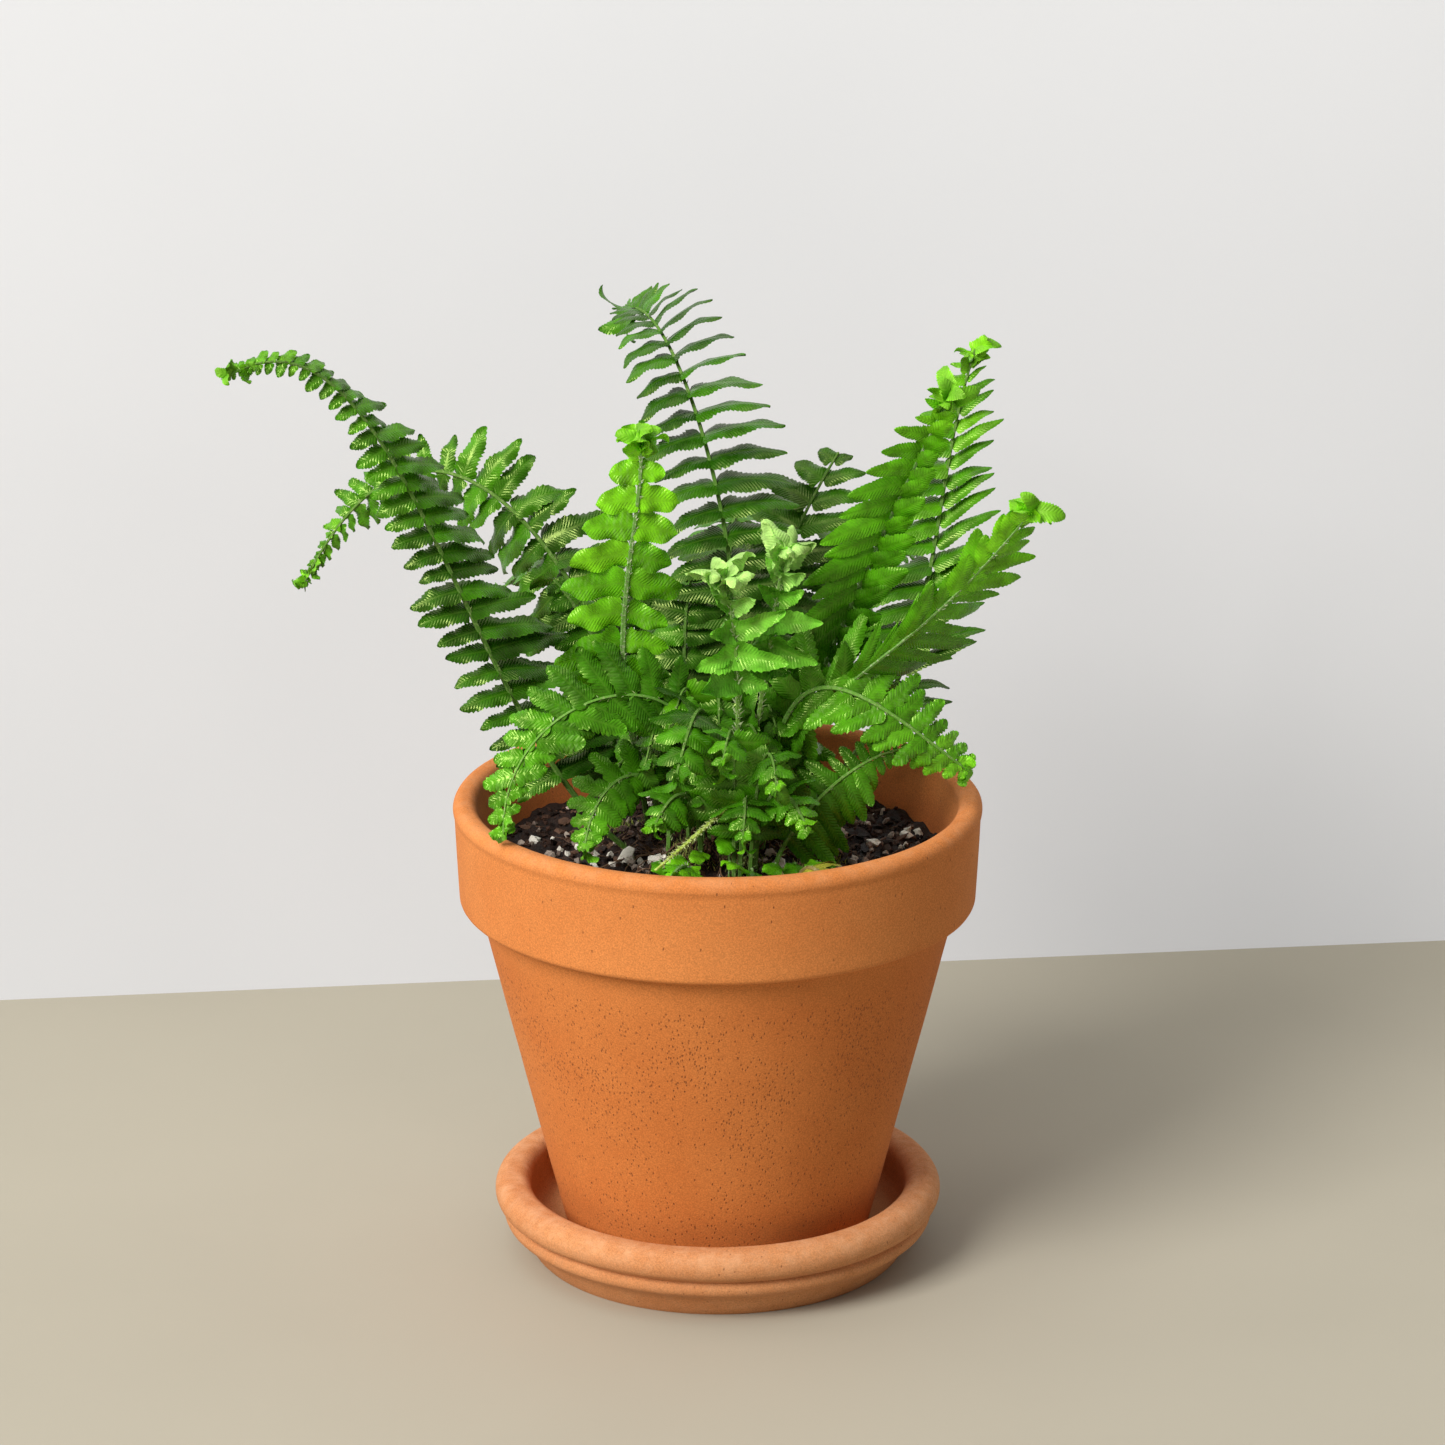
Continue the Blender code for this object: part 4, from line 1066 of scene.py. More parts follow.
def leaf_surface():
    """Shader group: colour, height and roughness of a leaflet, stem or scale from its values."""
    group, given, result = new_group(
        "leaf surface",
        {"Place": "Vector", "Vein": "Float", "Across": "Float", "Leaf": "Color",
         "Stem": "Color", "Scale": "Color", "Part": "Float", "Under": "Float", "Wax": "Float"},
        {"Color": "Color", "Height": "Float", "Roughness": "Float"})
    place, vein, across, leaf, stem, scale, part, under, wax = given[:9]
    off = work_out("ABSOLUTE", minus(work_out("FRACT", vein), 0.5))
    off_fork = work_out("ABSOLUTE", minus(work_out("FRACT", times(vein, 2.0)), 0.5))
    veins = put(group, "ShaderNodeMix",
                {0: slope(across, 0.35, 0.6), 2: slope(off, 0.34, 0.5),
                 3: slope(off_fork, 0.30, 0.5)}).outputs[0]
    mottle = slope(grain(place, 210.0, 4.0, 0.6), 0.3, 0.7, 0.66, 1.40)
    color = blend_colors(1.0, leaf, mottle, "MULTIPLY")
    color = blend_colors(1.0, color, slope(off, 0.0, 0.5, 1.05, 0.95), "MULTIPLY")
    rib = times(slope(across, 0.03, 0.12, 1.0, 0.0), 0.26)
    marked = work_out("MAXIMUM", times(veins, 0.12), rib)
    marked = work_out("MAXIMUM", marked, slope(across, 0.90, 1.0, 0.0, 0.22))
    color = blend_colors(marked, color, blend_colors(0.45, color, VEIN_COLOR))
    # Painted sheen: paler colour in place of highlights.
    color = blend_colors(times(wax, 0.75), color, PAINTED_SHEEN_COLOR)
    color = blend_colors(times(under, 0.3), color, UNDER_COLOR)
    speck = slope(grain(place, 1300.0, 3.0, 0.6), 0.48, 0.78)
    color = blend_colors(slope(part, 0.2, 0.4), color, blend_colors(speck, stem, scale))
    color = blend_colors(slope(part, 0.6, 0.9), color, scale)
    height = minus(slope(off, 0.0, 0.5, 1.0, 0.0), times(veins, 0.25))
    height = plus(times(height, slope(across, 0.05, 0.3)), times(mottle, 0.5))
    rough = plus(slope(part, 0.2, 0.5, 0.19, 0.62), times(under, 0.25))
    rough = plus(rough, slope(grain(place, 500.0), 0.3, 0.7, 0.0, 0.14))
    feed(result, {"Color": color, "Height": height, "Roughness": rough})
    return group


LEAF = leaf_surface()


def leaf_finish(name, slot_name, deep, middle, bright, stem, scale, glow, thin):
    """A waxy leaf, handed back with a slot name that no piece uses. Deep, middle and bright
    are its colours by youth, glow tints the light that comes through it, and thin is that
    light's share."""
    material, tree, shader, place = new_material(name)
    values = {key.capitalize(): read_value(tree, key) for key in Growth.KEYS}
    tone = values.pop("Tone")
    leaf = blend_colors(slope(tone, 0.0, 0.5), deep, middle)
    leaf = blend_colors(slope(tone, 0.45, 1.0), leaf, bright)
    made = put(tree, "ShaderNodeGroup", {"Place": place, "Leaf": leaf, "Stem": (*stem, 1.0),
                                         "Scale": (*scale, 1.0), **values}, node_tree=LEAF).outputs
    bump = cover(shader, made["Color"], made["Height"], 0.45, 0.00016, made["Roughness"], 0.72)
    feed(shader, {"Specular Tint": LEAF_SHEEN})
    veil = put(tree, "ShaderNodeBsdfTranslucent",
               {"Color": blend_colors(0.45, made["Color"], glow), "Normal": bump})
    both = put(tree, "ShaderNodeMixShader", {0: thin, 1: shader.outputs[0], 2: veil.outputs[0]})
    feed(tree.nodes["Material Output"], {"Surface": both.outputs[0]})
    return material, slot_name


MATURE = leaf_finish("mature fern", "leaf_mature", (0.011, 0.066, 0.001), (0.048, 0.212, 0.002),
                     (0.220, 0.620, 0.012), (0.090, 0.220, 0.030), (0.28, 0.38, 0.14),
                     (0.18, 0.54, 0.01), 0.13)
FRESH = leaf_finish("low fern", "leaf_mature", (0.030, 0.140, 0.003), (0.080, 0.320, 0.006),
                    (0.210, 0.620, 0.020), (0.170, 0.420, 0.060), (0.44, 0.56, 0.24),
                    (0.22, 0.62, 0.01), 0.18)
YOUNG = leaf_finish("young fern", "leaf_young", (0.044, 0.200, 0.003), (0.105, 0.400, 0.005),
                    (0.240, 0.680, 0.012), (0.16, 0.36, 0.07), (0.62, 0.68, 0.46),
                    (0.28, 0.70, 0.01), 0.26)
PALE = leaf_finish("unrolling fern", "leaf_pale", (0.050, 0.260, 0.010), (0.190, 0.560, 0.040),
                   (0.600, 0.900, 0.270), (0.24, 0.48, 0.08), (0.66, 0.76, 0.44),
                   (0.38, 0.80, 0.05), 0.26)
SPENT = leaf_finish("spent fern", "leaf_pale", (0.40, 0.58, 0.08), (0.48, 0.66, 0.10),
                    (0.56, 0.72, 0.14), (0.50, 0.66, 0.10), (0.80, 0.86, 0.44),
                    (0.45, 0.70, 0.06), 0.20)
YELLOW = leaf_finish("yellowed fern", "leaf_yellow", (0.30, 0.33, 0.03), (0.52, 0.50, 0.05),
                     (0.70, 0.62, 0.10), (0.38, 0.28, 0.10), (0.55, 0.48, 0.30),
                     (0.75, 0.65, 0.08), 0.26)


# Tall frond at the back
# The plant's longest frond stands up behind the rest and arches back at its tip. Its upper
# leaflets are turned on edge like the slats of a blind.
grow(Frond("frond_tall_back", (0.002, 0.010), (0.014, 0.009, 0.165), (-0.010, 0.010, 0.243),
           (-0.022, 0.066, 0.225), 24, 0.0200, breadth=0.36, bare=0.20,
           left=(10, 12, 0.0, 0.82), right=(10, 6, 0.0, 1.0), tip_left=(-22, 30, 0.0, 0.9),
           tip_right=(-22, 60, 0.0, 1.1), face=(0.0, -1.0, 0.1), tip_face=(0.0, -0.6, 0.8),
           droop=34, tip_level=1.3, taper=4.0, crowding=1.45, room=1.4, teeth=15,
           notch=0.15, blunt=1.9, youth=(0.00, 0.24), bud=(3, 0.0100)), MATURE)

# Arching frond at the left
# A long grown frond that bends out over the left rim under its own weight, with toothed leaflets
# set close along it. Its tip still unrolls, in a small hook of pale leaflets.
grow(Frond("frond_left_arch", (-0.022, -0.005), (-0.062, -0.013, 0.141),
           (-0.075, -0.020, 0.254), (-0.114, -0.036, 0.233), 33, 0.0225, breadth=0.26,
           bare=0.14, left=(24, 4, 0.0, 0.64), right=(-14, 6, 0.0, 1.05),
           tip_left=(10, -34, 0.2, 0.50), tip_right=(-58, 8, 0.0, 0.95), widths=(1.5, 1.05),
           face=(0.2, -1.0, 0.4), tip_face=(0.2, -0.5, 0.8), droop=28, level=0.55, taper=1.5,
           crowding=1.45, room=2.2, teeth=11, notch=0.17, blunt=3.0, ruffle=0.09, unruly=3.0,
           youth=(0.06, 0.60), bud=(8, 0.0050)), MATURE)

# Young frond in front
# A soft new frond, fresh and bright, with wide thin leaflets. Silvery scales cover its thick
# stem, and the leaflets at its tip are still curled up in a crown.
grow(Frond("frond_young_front", (-0.011, -0.006), (-0.033, -0.014, 0.152),
           (-0.017, -0.029, 0.191), (-0.018, -0.024, 0.215), 9, 0.0158, breadth=0.48,
           bare=0.40, left=(2, 4, 0.30, 1.12), right=(-2, 4, 0.12, 0.85),
           face=(0.1, -1.0, 0.1), tip_face=(0.1, -1.0, 0.2), droop=16, level=0.10,
           tip_level=0.10, taper=4.0, room=1.05, teeth=18, notch=0.07, sweep=0.06, blunt=3.6,
           ridge=0.00004, ruffle=0.12, unruly=3.0, youth=(0.48, 0.98), thick=1.0, scales=420,
           fur=0.0009, bud=(11, 0.0078)), YOUNG)

# Rising frond at the right
# A frond that is still growing up and out, green at the foot and bright at the tip. It is folded
# like a gutter, so that its near row of leaflets is seen end on, like scales.
grow(Frond("frond_right_rising", (0.010, 0.001), (0.024, -0.002, 0.147),
           (0.038, -0.012, 0.187), (0.055, -0.024, 0.226), 18, 0.0200, breadth=0.27,
           bare=0.30, left=(-8, 10, 0.75, 1.05), right=(46, 72, 0.0, 0.70),
           tip_left=(20, 10, 0.30, 0.9), tip_right=(44, 62, 0.0, 0.8), widths=(0.85, 1.5),
           face=(0.35, -0.9, 0.3), tip_face=(0.35, -0.9, 0.4), droop=24, level=0.30,
           tip_level=0.20, taper=2.6, room=1.9, teeth=14, blunt=2.4, unruly=3.0,
           youth=(0.02, 0.72), scales=90, bud=(10, 0.0074)), YOUNG)

# Right frond further back
# A grown frond with narrow leaflets on a long bare foot. They are thin enough for light to come
# through, and are seen nearly on edge.
grow(Frond("frond_right_back", (0.018, 0.009), (0.059, 0.020, 0.141), (0.050, 0.032, 0.179),
           (0.064, 0.048, 0.219), 20, 0.0200, breadth=0.28, bare=0.26,
           left=(-8, 4, 0.20, 1.0), right=(44, 4, 0.0, 1.05), face=(0.1, -1.0, 0.2),
           tip_face=(0.0, -1.0, 0.3), droop=24, level=0.55, tip_level=0.55, taper=2.8,
           room=1.2, teeth=13, blunt=1.9, unruly=2.5, youth=(0.15, 0.78), bud=(7, 0.0066)),
     MATURE)

# Frond at the far right
# A thin-stemmed frond that bends to the right and up again. Its near row of leaflets is bright
# and lies along the stem, and the far row reaches out below it in its shade.
grow(Frond("frond_far_right", (0.016, -0.005), (0.021, -0.012, 0.159),
           (0.036, -0.024, 0.147), (0.074, -0.036, 0.201), 15, 0.0190, breadth=0.30,
           bare=0.30, left=(74, 8, 0.0, 0.92), right=(18, -14, 0.20, 1.1),
           tip_left=(44, 20, -0.2, 0.8), tip_right=(34, -20, 0.0, 0.8), widths=(1.2, 0.66),
           face=(0.3, -0.9, -0.3), tip_face=(0.3, -0.9, -0.3), droop=20, level=0.20,
           tip_level=0.20, taper=3.4, room=3.2, unruly=3.0, youth=(0.10, 0.92), thick=0.6,
           bud=(8, 0.0075)), YOUNG)

# Hanging frond at the left
# A grown frond that its weight pulls down: it rises behind the left arch and falls outside the
# rim. The leaflets at its end are small and crumpled.
grow(Frond("frond_left_hanging", (-0.012, 0.008), (-0.029, 0.018, 0.173),
           (-0.070, 0.036, 0.229), (-0.104, 0.046, 0.159), 30, 0.0215, breadth=0.30,
           bare=0.16, left=(6, -16, 0.30, 1.0), right=(-20, 12, 0.0, 1.05),
           tip_left=(50, -20, 0.1, 0.85), tip_right=(48, 10, 0.0, 0.85), face=(0.1, -1.0, 0.3),
           tip_face=(-0.3, -0.8, 0.4), droop=32, level=0.45, tip_level=0.20, taper=1.15,
           crowding=1.4, room=2.2, teeth=11, notch=0.17, ruffle=0.14, unruly=4.0,
           youth=(0.06, 0.58), bud=(7, 0.0045)), MATURE)

# Low fronds that droop to the rim
# The older fronds near the soil, bent to the rim by their own weight. Their leaflets are blunt,
# leathery and deeply toothed, and most are ridged between their side veins.
RIDGED = dict(teeth=9, blunt=5.0, ridge=0.00026)
FLAT_LYING = dict(level=0.12, tip_level=0.10)
grow(Frond("frond_low_left", (-0.005, -0.010), (0.008, -0.014, 0.166),
           (-0.052, -0.032, 0.160), (-0.051, -0.040, 0.122), 13, 0.0172, breadth=0.37,
           bare=0.34, left=(-46, 4, 0.10, 1.0), right=(32, 4, 0.0, 0.95), widths=(0.9, 1.0),
           face=(0.1, -1.0, 0.35), tip_face=(-0.2, -1.0, 0.35), droop=22, taper=1.8, room=1.5,
           notch=0.21, smooth=0.22, ruffle=0.10, unruly=2.2, youth=(0.04, 0.50), thick=0.50,
           bud=(5, 0.0042), **RIDGED, **FLAT_LYING), FRESH)
grow(Frond("frond_low_right", (0.011, -0.011), (0.014, -0.016, 0.171), (0.033, -0.028, 0.155),
           (0.061, -0.014, 0.129), 15, 0.0182, bare=0.30, left=(14, 4, 0.0, 1.0),
           right=(-42, 4, 0.0, 1.05), tip_left=(22, 4, 0.0, 0.9), tip_right=(-14, 4, 0.0, 1.0),
           face=(0.1, -1.0, 0.35), tip_face=(0.1, -1.0, 0.35), droop=18, taper=2.2, room=1.2,
           notch=0.22, smooth=0.25, ruffle=0.09, unruly=3.0, youth=(0.26, 0.80), thick=0.8,
           bud=(5, 0.0045), **RIDGED, **FLAT_LYING), FRESH)
grow(Frond("frond_inside_right", (0.014, -0.018), (0.016, -0.020, 0.116),
           (0.030, -0.018, 0.133), (0.044, -0.012, 0.134), 12, 0.0142, breadth=0.28, bare=0.16,
           left=(-6, 4, 0.0, 0.8), right=(-8, 4, 0.15, 1.08), face=(0.1, -1.0, 0.3),
           tip_face=(0.1, -1.0, 0.3), droop=24, level=0.10, tip_level=0.10, room=1.2, teeth=7,
           notch=0.20, smooth=0.3, blunt=6.0, unruly=3.0, youth=(0.12, 0.22), thick=0.6), FRESH)
grow(Frond("frond_inside_left", (-0.012, -0.013), (-0.010, -0.016, 0.137),
           (-0.030, -0.018, 0.134), (-0.032, -0.029, 0.114), 8, 0.0104, breadth=0.80,
           bare=0.36, face=(0.0, -1.0, 0.4), tip_face=(-0.2, -1.0, 0.3), taper=2.4, teeth=3,
           level=0.10, tip_level=0.10, room=1.3, notch=0.34, blunt=5.0, youth=(0.34, 0.60),
           thick=0.6, bud=(3, 0.0045)), FRESH)

# Unrolling fronds in the middle
# Two fronds that have just come up. Their leaflets are pale, thin and still folded, and white
# hairs cover the stems.
UNROLLING = dict(left=(16, 20, 0.5, 1.0), right=(16, 20, 0.5, 1.0), tip_left=(50, 40, -0.3, 0.8),
                 tip_right=(50, 40, -0.3, 0.8), face=(0.1, -1.0, 0.2), tip_face=(0.1, -1.0, 0.4),
                 droop=-10, level=0.1, tip_level=0.1, taper=4.0, unruly=7.0, notch=0.12,
                 blunt=1.7, ruffle=0.12, turned_down=-0.60, scales=300)
grow(Frond("frond_unrolling", (0.005, -0.006), (0.010, -0.018, 0.140), (0.012, -0.026, 0.165),
           (0.016, -0.024, 0.187), 6, 0.0110, breadth=0.75, bare=0.58, teeth=8,
           youth=(0.18, 0.85), fur=0.0011, bud=(11, 0.0105), **UNROLLING), PALE)
grow(Frond("frond_crozier", (0.001, -0.013), (0.006, -0.025, 0.135), (0.006, -0.031, 0.160),
           (0.002, -0.031, 0.182), 5, 0.0105, breadth=0.80, bare=0.62, teeth=7,
           youth=(0.20, 0.88), fur=0.0014, bud=(12, 0.0105), **UNROLLING), PALE)

# Fronds deep in the middle
# Grown fronds, dark and glossy, that fill the plant behind the front ones. Three smaller ones
# bend over the soil.
DEEP = dict(youth=(0.02, 0.22), unruly=2.5)
BENT_OVER = dict(droop=35, unruly=2.5)
grow(Frond("frond_middle_back", (-0.003, 0.006), (-0.008, 0.006, 0.135),
           (-0.010, 0.009, 0.155), (-0.006, 0.013, 0.172), 9, 0.0170, breadth=0.46, bare=0.2,
           **DEEP), MATURE)
grow(Frond("frond_behind_right", (0.007, 0.015), (0.004, 0.019, 0.146), (0.016, 0.028, 0.174),
           (0.030, 0.042, 0.194), 9, 0.0200, breadth=0.42, bare=0.3, face=(0.0, -1.0, 0.4),
           left=(10, 4, 0.1, 1.0), right=(34, 4, 0.0, 1.0), taper=5.0, **DEEP), MATURE)
grow(Frond("frond_behind_left", (-0.017, 0.003), (-0.020, 0.005, 0.130),
           (-0.028, 0.008, 0.158), (-0.040, 0.011, 0.170), 10, 0.0170, breadth=0.44, bare=0.2,
           bud=(3, 0.006), **DEEP), MATURE)
grow(Frond("frond_low_middle", (-0.001, -0.005), (-0.002, -0.012, 0.150),
           (-0.004, -0.028, 0.158), (-0.010, -0.042, 0.136), 7, 0.0165, breadth=0.46,
           bare=0.32, face=(0.0, -0.6, 0.8), tip_face=(-0.1, -1.0, 0.4), teeth=10, notch=0.12,
           youth=(0.15, 0.34), bud=(4, 0.006), **BENT_OVER), MATURE)
grow(Frond("frond_low_front", (-0.004, -0.019), (-0.004, -0.022, 0.126),
           (-0.009, -0.028, 0.134), (-0.0150, -0.034, 0.122), 6, 0.0130, breadth=0.50,
           bare=0.3, face=(0.0, -0.7, 0.7), tip_face=(-0.2, -0.9, 0.4), teeth=7, notch=0.18,
           youth=(0.28, 0.48), bud=(4, 0.0045), **BENT_OVER), MATURE)
grow(Frond("frond_front_right", (0.009, -0.020), (0.010, -0.024, 0.127),
           (0.015, -0.033, 0.137), (0.021, -0.043, 0.125), 7, 0.0125, breadth=0.44, bare=0.30,
           face=(0.1, -0.7, 0.7), tip_face=(0.2, -0.9, 0.4), teeth=7, notch=0.18,
           youth=(0.30, 0.55), bud=(4, 0.0045), **BENT_OVER), MATURE)

# Fronds at the back
# Three grown fronds that come up at the back of the crown, spread apart and bend over the back
# rim.
SPREADING = dict(breadth=0.42, bare=0.3, bud=(3, 0.004))
grow(Frond("frond_back_left", (-0.009, 0.014), (-0.016, 0.023, 0.158),
           (-0.036, 0.048, 0.184), (-0.056, 0.066, 0.150), 11, 0.0175, face=(-0.4, 0.2, 1.0),
           tip_face=(-0.6, 0.5, 0.8), youth=(0.10, 0.50), **SPREADING), MATURE)
grow(Frond("frond_back", (0.000, 0.019), (0.002, 0.030, 0.164), (0.004, 0.060, 0.192),
           (0.007, 0.088, 0.158), 12, 0.0180, face=(0.0, 0.2, 1.0), tip_face=(0.0, 0.6, 0.8),
           youth=(0.10, 0.55), **SPREADING), MATURE)
grow(Frond("frond_back_right", (0.014, 0.015), (0.018, 0.024, 0.160), (0.036, 0.052, 0.188),
           (0.054, 0.070, 0.156), 11, 0.0175, face=(0.4, 0.2, 1.0), tip_face=(0.6, 0.5, 0.8),
           youth=(0.10, 0.55), **SPREADING), MATURE)

# Plantlets among the stems
# Young offshoots crowd the crown between the big fronds: short, dark, and bent outwards under
# them. They grow at the golden angle from each other, with a seeded draw for each one's form,
# and three more stand in front of the unrolling fronds, where their bare stems would show.

PLANTLETS_GROWN = 12
GOLDEN_ANGLE = math.radians(137.5)
CROWN_SHIFT = 0.003
FRONT_OFFSHOOTS = ((0.000, 0.146, 0.0145), (0.013, 0.140, 0.0135), (0.005, 0.128, 0.0120))


def make_offshoots(name, first, seed):
    """Small fronds round the crown in one piece, from one number of the row of angles on."""
    draw = np.random.RandomState(seed)
    growth = Growth()
    for number in range(first, first + PLANTLETS_GROWN):
        turn = number * GOLDEN_ANGLE + draw.uniform(-0.3, 0.3)
        x, y = math.cos(turn), math.sin(turn)
        start = draw.uniform(0.006, 0.015)
        reach = draw.uniform(0.020, 0.031)
        top = draw.uniform(0.124, 0.152)
        youth = draw.uniform(0.02, 0.42)

        def out(distance, *height):
            return (x * distance, y * distance - CROWN_SHIFT, *height)

        grow_frond(growth, Frond(
            "offshoot", out(start), out(start + 0.002, top + 0.004),
            out(reach * 0.7, top + 0.012), out(reach, top - draw.uniform(0.002, 0.014)),
            6, draw.uniform(0.012, 0.0165), breadth=0.44, bare=0.22,
            face=(x * 0.6, y * 0.6 - 0.4, 0.6), tip_face=(x, y - 0.3, 0.6), droop=30,
            unruly=3.0, teeth=6, notch=0.16, blunt=3.0, youth=(youth, youth + 0.15),
            thick=0.6, scales=30, bud=(2, 0.006)), draw)
    growth.finish(name, *MATURE)


def make_front_offshoots():
    """The three in front: each row is how far it leans to the right, its top and its leaflets."""
    draw = np.random.RandomState(53)
    growth = Growth()
    for lean, top, length in FRONT_OFFSHOOTS:
        grow_frond(growth, Frond(
            "offshoot", (0.004 + lean * 0.3, -0.024), (0.004 + lean * 0.4, -0.028, top),
            (0.004 + lean * 0.7, -0.034, top + 0.008), (0.001 + lean, -0.044, top - 0.006),
            7, length, breadth=0.42, face=(0.0, -0.8, 0.6), tip_face=(0.0, -0.8, 0.6),
            droop=26, unruly=3.0, teeth=9, notch=0.16, blunt=3.0, youth=(0.20, 0.50),
            thick=0.6, bud=(3, 0.006)), draw)
    growth.finish("offshoots_in_front", *MATURE)


make_offshoots("offshoots_first", 0, 51)
make_offshoots("offshoots_later", PLANTLETS_GROWN, 52)
make_front_offshoots()

# Sporelings at the front
# Tiny fronds of new plants, close to the soil. One is bright, and the other is at its end and
# going yellow.
SPORELING = dict(bare=0.3, face=(0.0, -0.5, 1.0), tip_face=(0.0, -0.6, 1.0), teeth=5, blunt=4.0,
                 scales=40, bud=(3, 0.004))
grow(Frond("frond_small_front", (-0.006, -0.028), (-0.006, -0.032, 0.111),
           (-0.008, -0.038, 0.115), (-0.011, -0.045, 0.113), 4, 0.0070, breadth=0.7,
           notch=0.14, youth=(0.5, 0.7), **SPORELING), YOUNG)
grow(Frond("frond_yellowed", (0.019, -0.028), (0.020, -0.031, 0.111), (0.022, -0.036, 0.114),
           (0.026, -0.042, 0.111), 4, 0.0088, breadth=0.6, notch=0.2, youth=(0.3, 0.8),
           **SPORELING), YELLOW)

# Spent stem
# A stem that has lost its leaflets and leans out over the front lip. It is pale and furry, with
# knobs along it.
grow(Frond("spent_stem", (0.006, -0.010), (0.009, -0.012, 0.128), (0.002, -0.036, 0.126),
           (-0.0145, -0.062, 0.1206), 0, 0.0, youth=(0.6, 0.9), thick=0.75, scales=520,
           fur=0.0009, knobs=0.35), SPENT)


# Crown
# Where the fronds come up: a low mound of old stem bases, dry brown scales and wiry roots, with
# a little moss on the damp soil around it.

FIBRES = 1500
ROOTS = 60
MOSS_TUFTS = 1500
CROWN_RADIUS = 0.019
ROOT_STEPS = 14
ROOT_RADIUS = 0.00022
ROOT_HUMP = 0.0012
ROOT_WANDER = 0.0022
MOSS_BEDS = ((0.0225, -0.0170, 0.0050), (0.0280, -0.0120, 0.0045), (0.0060, -0.0190, 0.0060),
             (-0.0080, -0.0160, 0.0050), (0.0160, -0.0200, 0.0060), (0.0050, 0.0300, 0.0080),
             (-0.0250, 0.0150, 0.0070))


def fibre_finish(name, dark, pale):
    """Dry plant fibre, from dark to pale by its tone value."""
    material, tree, shader, _ = new_material(name)
    feed(shader, {"Base Color": blend_colors(read_value(tree, "tone"), dark, pale),
                  "Roughness": 0.75})
    return material


def make_crown_scales(draw):
    """Scales and fibres that stand out of the mound, denser towards its middle."""
    growth = Growth()
    radius = CROWN_RADIUS * draw.uniform(0.0, 1.0, FIBRES) ** 0.8
    angle = draw.uniform(0.0, 2.0 * math.pi, FIBRES)
    x, y = radius * np.cos(angle), radius * np.sin(angle) - CROWN_SHIFT
    roots = np.column_stack([x, y, soil_height(x, y) - 0.0006])
    ways = np.column_stack([x * 40.0, y * 40.0, np.ones(FIBRES)])
    ways = ways + draw.uniform(-0.7, 0.7, (FIBRES, 3))
    lengths = draw.uniform(0.002, 0.0062, FIBRES)
    add_spikes(growth, roots, ways, lengths, draw.uniform(0.0002, 0.0006, FIBRES),
               tone=draw.uniform(0.0, 1.0, FIBRES), sag=0.15)
    growth.finish("crown_scales", fibre_finish("crown scales", (0.035, 0.016, 0.008),
                                               (0.22, 0.12, 0.055)), "soil")


def make_roots(draw):
    """Roots that wander outwards over the soil, each with one low hump, thinner to the end."""
    growth = Growth()
    s = np.linspace(0.0, 1.0, ROOT_STEPS)
    for _ in range(ROOTS):
        angle = draw.uniform(0.0, 2.0 * math.pi)
        start = draw.uniform(0.008, 0.024)
        length = draw.uniform(0.008, 0.022)
        wander = ROOT_WANDER * np.sin(s * draw.uniform(3.0, 9.0) + draw.uniform(0.0, 6.0))
        outward = np.minimum(start + length * s, wall_inside(SOIL_EDGE) - 0.002)
        x = outward * math.cos(angle) - wander * math.sin(angle)
        y = outward * math.sin(angle) + wander * math.cos(angle)
        z = soil_surface(x, y) + 0.0003
        z = z + ROOT_HUMP * np.sin(math.pi * s) * draw.uniform(0.0, 1.0)
        add_tube(growth, np.column_stack([x, y, z]), np.tile(UP, (ROOT_STEPS, 1)),
                 ROOT_RADIUS * (1.1 - 0.7 * s), draw.uniform(0.2, 1.0))
    growth.finish("wiry_roots", fibre_finish("wiry roots", (0.05, 0.022, 0.012),
                                             (0.20, 0.11, 0.055)), "soil")


def make_moss():
    """Moss in low beds: short tufts that lean apart, each of one tone between dark and bright."""
    draw = np.random.RandomState(32)
    growth = Growth()
    each = MOSS_TUFTS // len(MOSS_BEDS)
    for bed_x, bed_y, spread in MOSS_BEDS:
        x = bed_x + draw.normal(0.0, spread / 2.2, each)
        y = bed_y + draw.normal(0.0, spread / 2.2, each)
        roots = np.column_stack([x, y, soil_surface(x, y) - 0.0002])
        ways = draw.uniform(-0.6, 0.6, (each, 3)) + UP
        lengths = draw.uniform(0.0007, 0.0024, each)
        add_spikes(growth, roots, ways, lengths, draw.uniform(0.0002, 0.0005, each),
                   tone=draw.uniform(0.0, 1.0, each))
    growth.finish("moss", fibre_finish("moss", (0.08, 0.11, 0.012), (0.42, 0.46, 0.10)), "soil")


crown_draw = np.random.RandomState(31)
make_crown_scales(crown_draw)
make_roots(crown_draw)
make_moss()


# Small leaves at the crown
# First leaves of new plantlets, round and bright. They stand on short thin stalks round the
# crown, most of them in front of it.

PLANTLETS = ((-0.0140, -0.0220, 0.0062), (-0.0090, -0.0260, 0.0070), (-0.0040, -0.0220, 0.0056),
             (0.0030, -0.0300, 0.0066), (0.0085, -0.0260, 0.0062), (0.0140, -0.0300, 0.0062),
             (0.0030, -0.0220, 0.0070), (0.0190, -0.0240, 0.0060), (-0.0070, -0.0320, 0.0060),
             (0.0240, -0.0280, 0.0050), (-0.0050, 0.0330, 0.0060), (0.0140, 0.0300, 0.0060))
STALK_STEPS = 10
STALK_RADIUS = 0.00032
STALK_BEND = 0.0015
PLANTLET_LEAF = Frond("plantlet", (0, 0), (0, 0, 0), (0, 0, 0), (0, 0, 0), 0, 0.0, teeth=5,
                      notch=0.10, blunt=4.5, turned_down=0.30, ruffle=0.12)


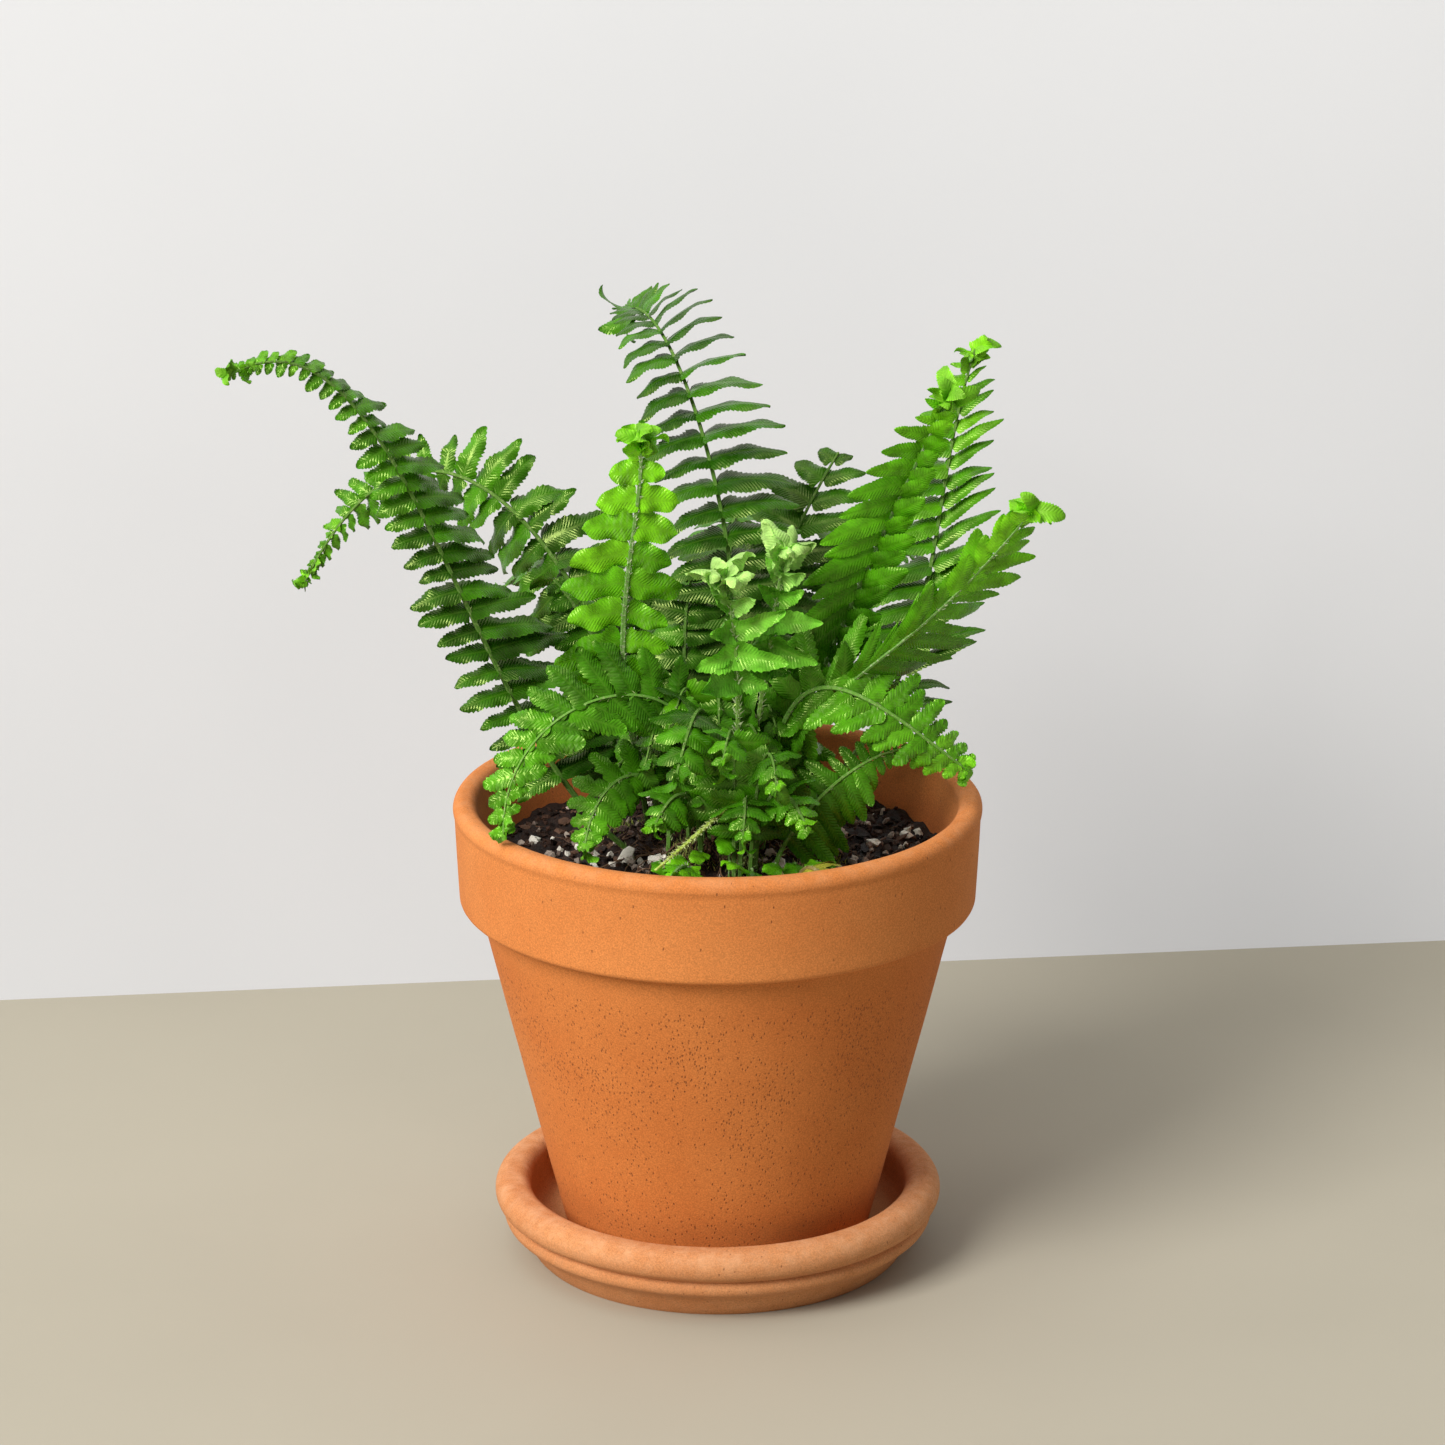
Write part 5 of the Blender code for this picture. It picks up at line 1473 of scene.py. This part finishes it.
def make_plantlets():
    """Each leaf sits at the end of a stalk that rises from the soil and leans to the front."""
    draw = np.random.RandomState(41)
    growth = Growth()
    for x, y, length in PLANTLETS:
        foot = np.array([x * 0.92, y * 0.86, 0.0])
        foot[2] = soil_height(foot[0], foot[1]) - 0.001
        top = np.array([x, y, soil_height(x, y) + draw.uniform(0.003, 0.009)])
        s = np.linspace(0.0, 1.0, STALK_STEPS)[:, None]
        line = foot + (top - foot) * s + STALK_BEND * UP * np.sin(math.pi * s)
        up = np.tile([0.0, -0.4, 0.9], (STALK_STEPS, 1))
        tone = draw.uniform(0.45, 0.85)
        add_tube(growth, line, up, np.full(STALK_STEPS, STALK_RADIUS), tone)
        out = unit([draw.uniform(-0.7, 0.7), math.copysign(1.0, y), draw.uniform(-0.1, 0.3)])
        width = unit(np.cross(UP, out) + draw.uniform(-0.4, 0.4) * UP)
        axes = (out, width, np.cross(out, width))
        add_leaflet(growth, PLANTLET_LEAF, top, axes, 1.0, length, length * 0.85,
                    draw.uniform(15, 50), tone, draw)
    growth.finish("plantlets", *YOUNG)


make_plantlets()


# Floor, wall and light
# A plain pale floor with a near-white wall a hand's breadth behind the pot, and soft light from
# the front left with a weak fill.

CAMERA_PLACE = (0.0012, -1.2378, 0.5342)
CAMERA_AIM = (0.0012, 0.0, 0.137)
LENS = 132.47
SENSOR = 36.0
WALL_LEFT = (-0.203, 0.170)
WALL_RIGHT = (0.212, 0.219)
FLOOR_COLOR = (0.397, 0.365, 0.290)
WALL_COLOR = (0.42, 0.424, 0.436)
WALL_GLOW = (0.28, 0.41)
FAR = 3.0
LIGHT_AIM = (0.0, 0.0, 0.12)


def plain(name, color, roughness):
    """A matte paint with a barely visible unevenness."""
    material, tree, shader, place = new_material(name)
    tone = slope(grain(place, 6.0, 3.0), 0.3, 0.7, 0.97, 1.02)
    feed(shader, {"Base Color": blend_colors(1.0, color, tone, "MULTIPLY"),
                  "Roughness": roughness, "Specular IOR Level": 0.25})
    return material, tree, shader, place


def stage_sheet(name, corners, material):
    """A flat sheet that isn't part of the plant."""
    mesh = bpy.data.meshes.new(name)
    mesh.from_pydata(corners, [], [(0, 1, 2, 3)])
    mesh.materials.append(material)
    sheet = bpy.data.objects.new(name, mesh)
    bpy.context.scene.collection.objects.link(sheet)


def make_floor():
    """A wide level sheet of paint."""
    corners = [(-FAR, -FAR, 0.0), (FAR, -FAR, 0.0), (FAR, FAR, 0.0), (-FAR, FAR, 0.0)]
    stage_sheet("floor", corners, plain("floor paint", FLOOR_COLOR, 0.7)[0])


def make_wall():
    """The wall glows faintly, more so higher up. Its back lets light and view through, for looks
    from behind."""
    left, right = np.array(WALL_LEFT), np.array(WALL_RIGHT)
    middle, along = (left + right) / 2, unit(right - left) * FAR
    start, end = middle - along, middle + along
    material, tree, shader, place = plain("wall paint", WALL_COLOR, 0.9)
    height = put(tree, "ShaderNodeSeparateXYZ", {0: place}).outputs[2]
    feed(shader, {"Emission Color": slope(height, 0.0, 0.45, *WALL_GLOW),
                  "Emission Strength": 1.0})
    behind = tree.nodes.new("ShaderNodeNewGeometry").outputs["Backfacing"]
    clear = tree.nodes.new("ShaderNodeBsdfTransparent").outputs[0]
    both = put(tree, "ShaderNodeMixShader", {0: behind, 1: shader.outputs[0], 2: clear})
    feed(tree.nodes["Material Output"], {"Surface": both.outputs[0]})
    stage_sheet("wall", [(*start, 0.0), (*end, 0.0), (*end, FAR), (*start, FAR)], material)


def put_on_stage(name, data, place, aim):
    """A lamp or camera at place, turned to look at aim."""
    thing = bpy.data.objects.new(name, data)
    bpy.context.scene.collection.objects.link(thing)
    thing.location = place
    thing.rotation_euler = (Vector(aim) - Vector(place)).to_track_quat("-Z", "Y").to_euler()
    return thing


def add_light(name, place, size, power, color):
    """A square soft light that shines on the pot."""
    lamp = bpy.data.lights.new(name, "AREA")
    lamp.size = size
    lamp.energy = power
    lamp.color = color
    put_on_stage(name, lamp, place, LIGHT_AIM)


make_floor()
make_wall()
add_light("key", (-2.20, -2.28, 2.47), 1.8, 191.0, (1.0, 0.985, 0.96))
add_light("fill", (-0.45, -0.50, 1.80), 0.9, 7.0, (1.0, 0.99, 0.97))

scene = bpy.context.scene
scene.world = bpy.data.worlds.new("studio")
scene.world.use_nodes = True
feed(scene.world.node_tree.nodes["Background"], {"Color": (1.0, 0.99, 0.98, 1.0), "Strength": 0.30})

view = bpy.data.cameras.new("camera")
view.lens = LENS
view.sensor_width = SENSOR
scene.camera = put_on_stage("camera", view, CAMERA_PLACE, CAMERA_AIM)
scene.view_settings.view_transform = "Standard"
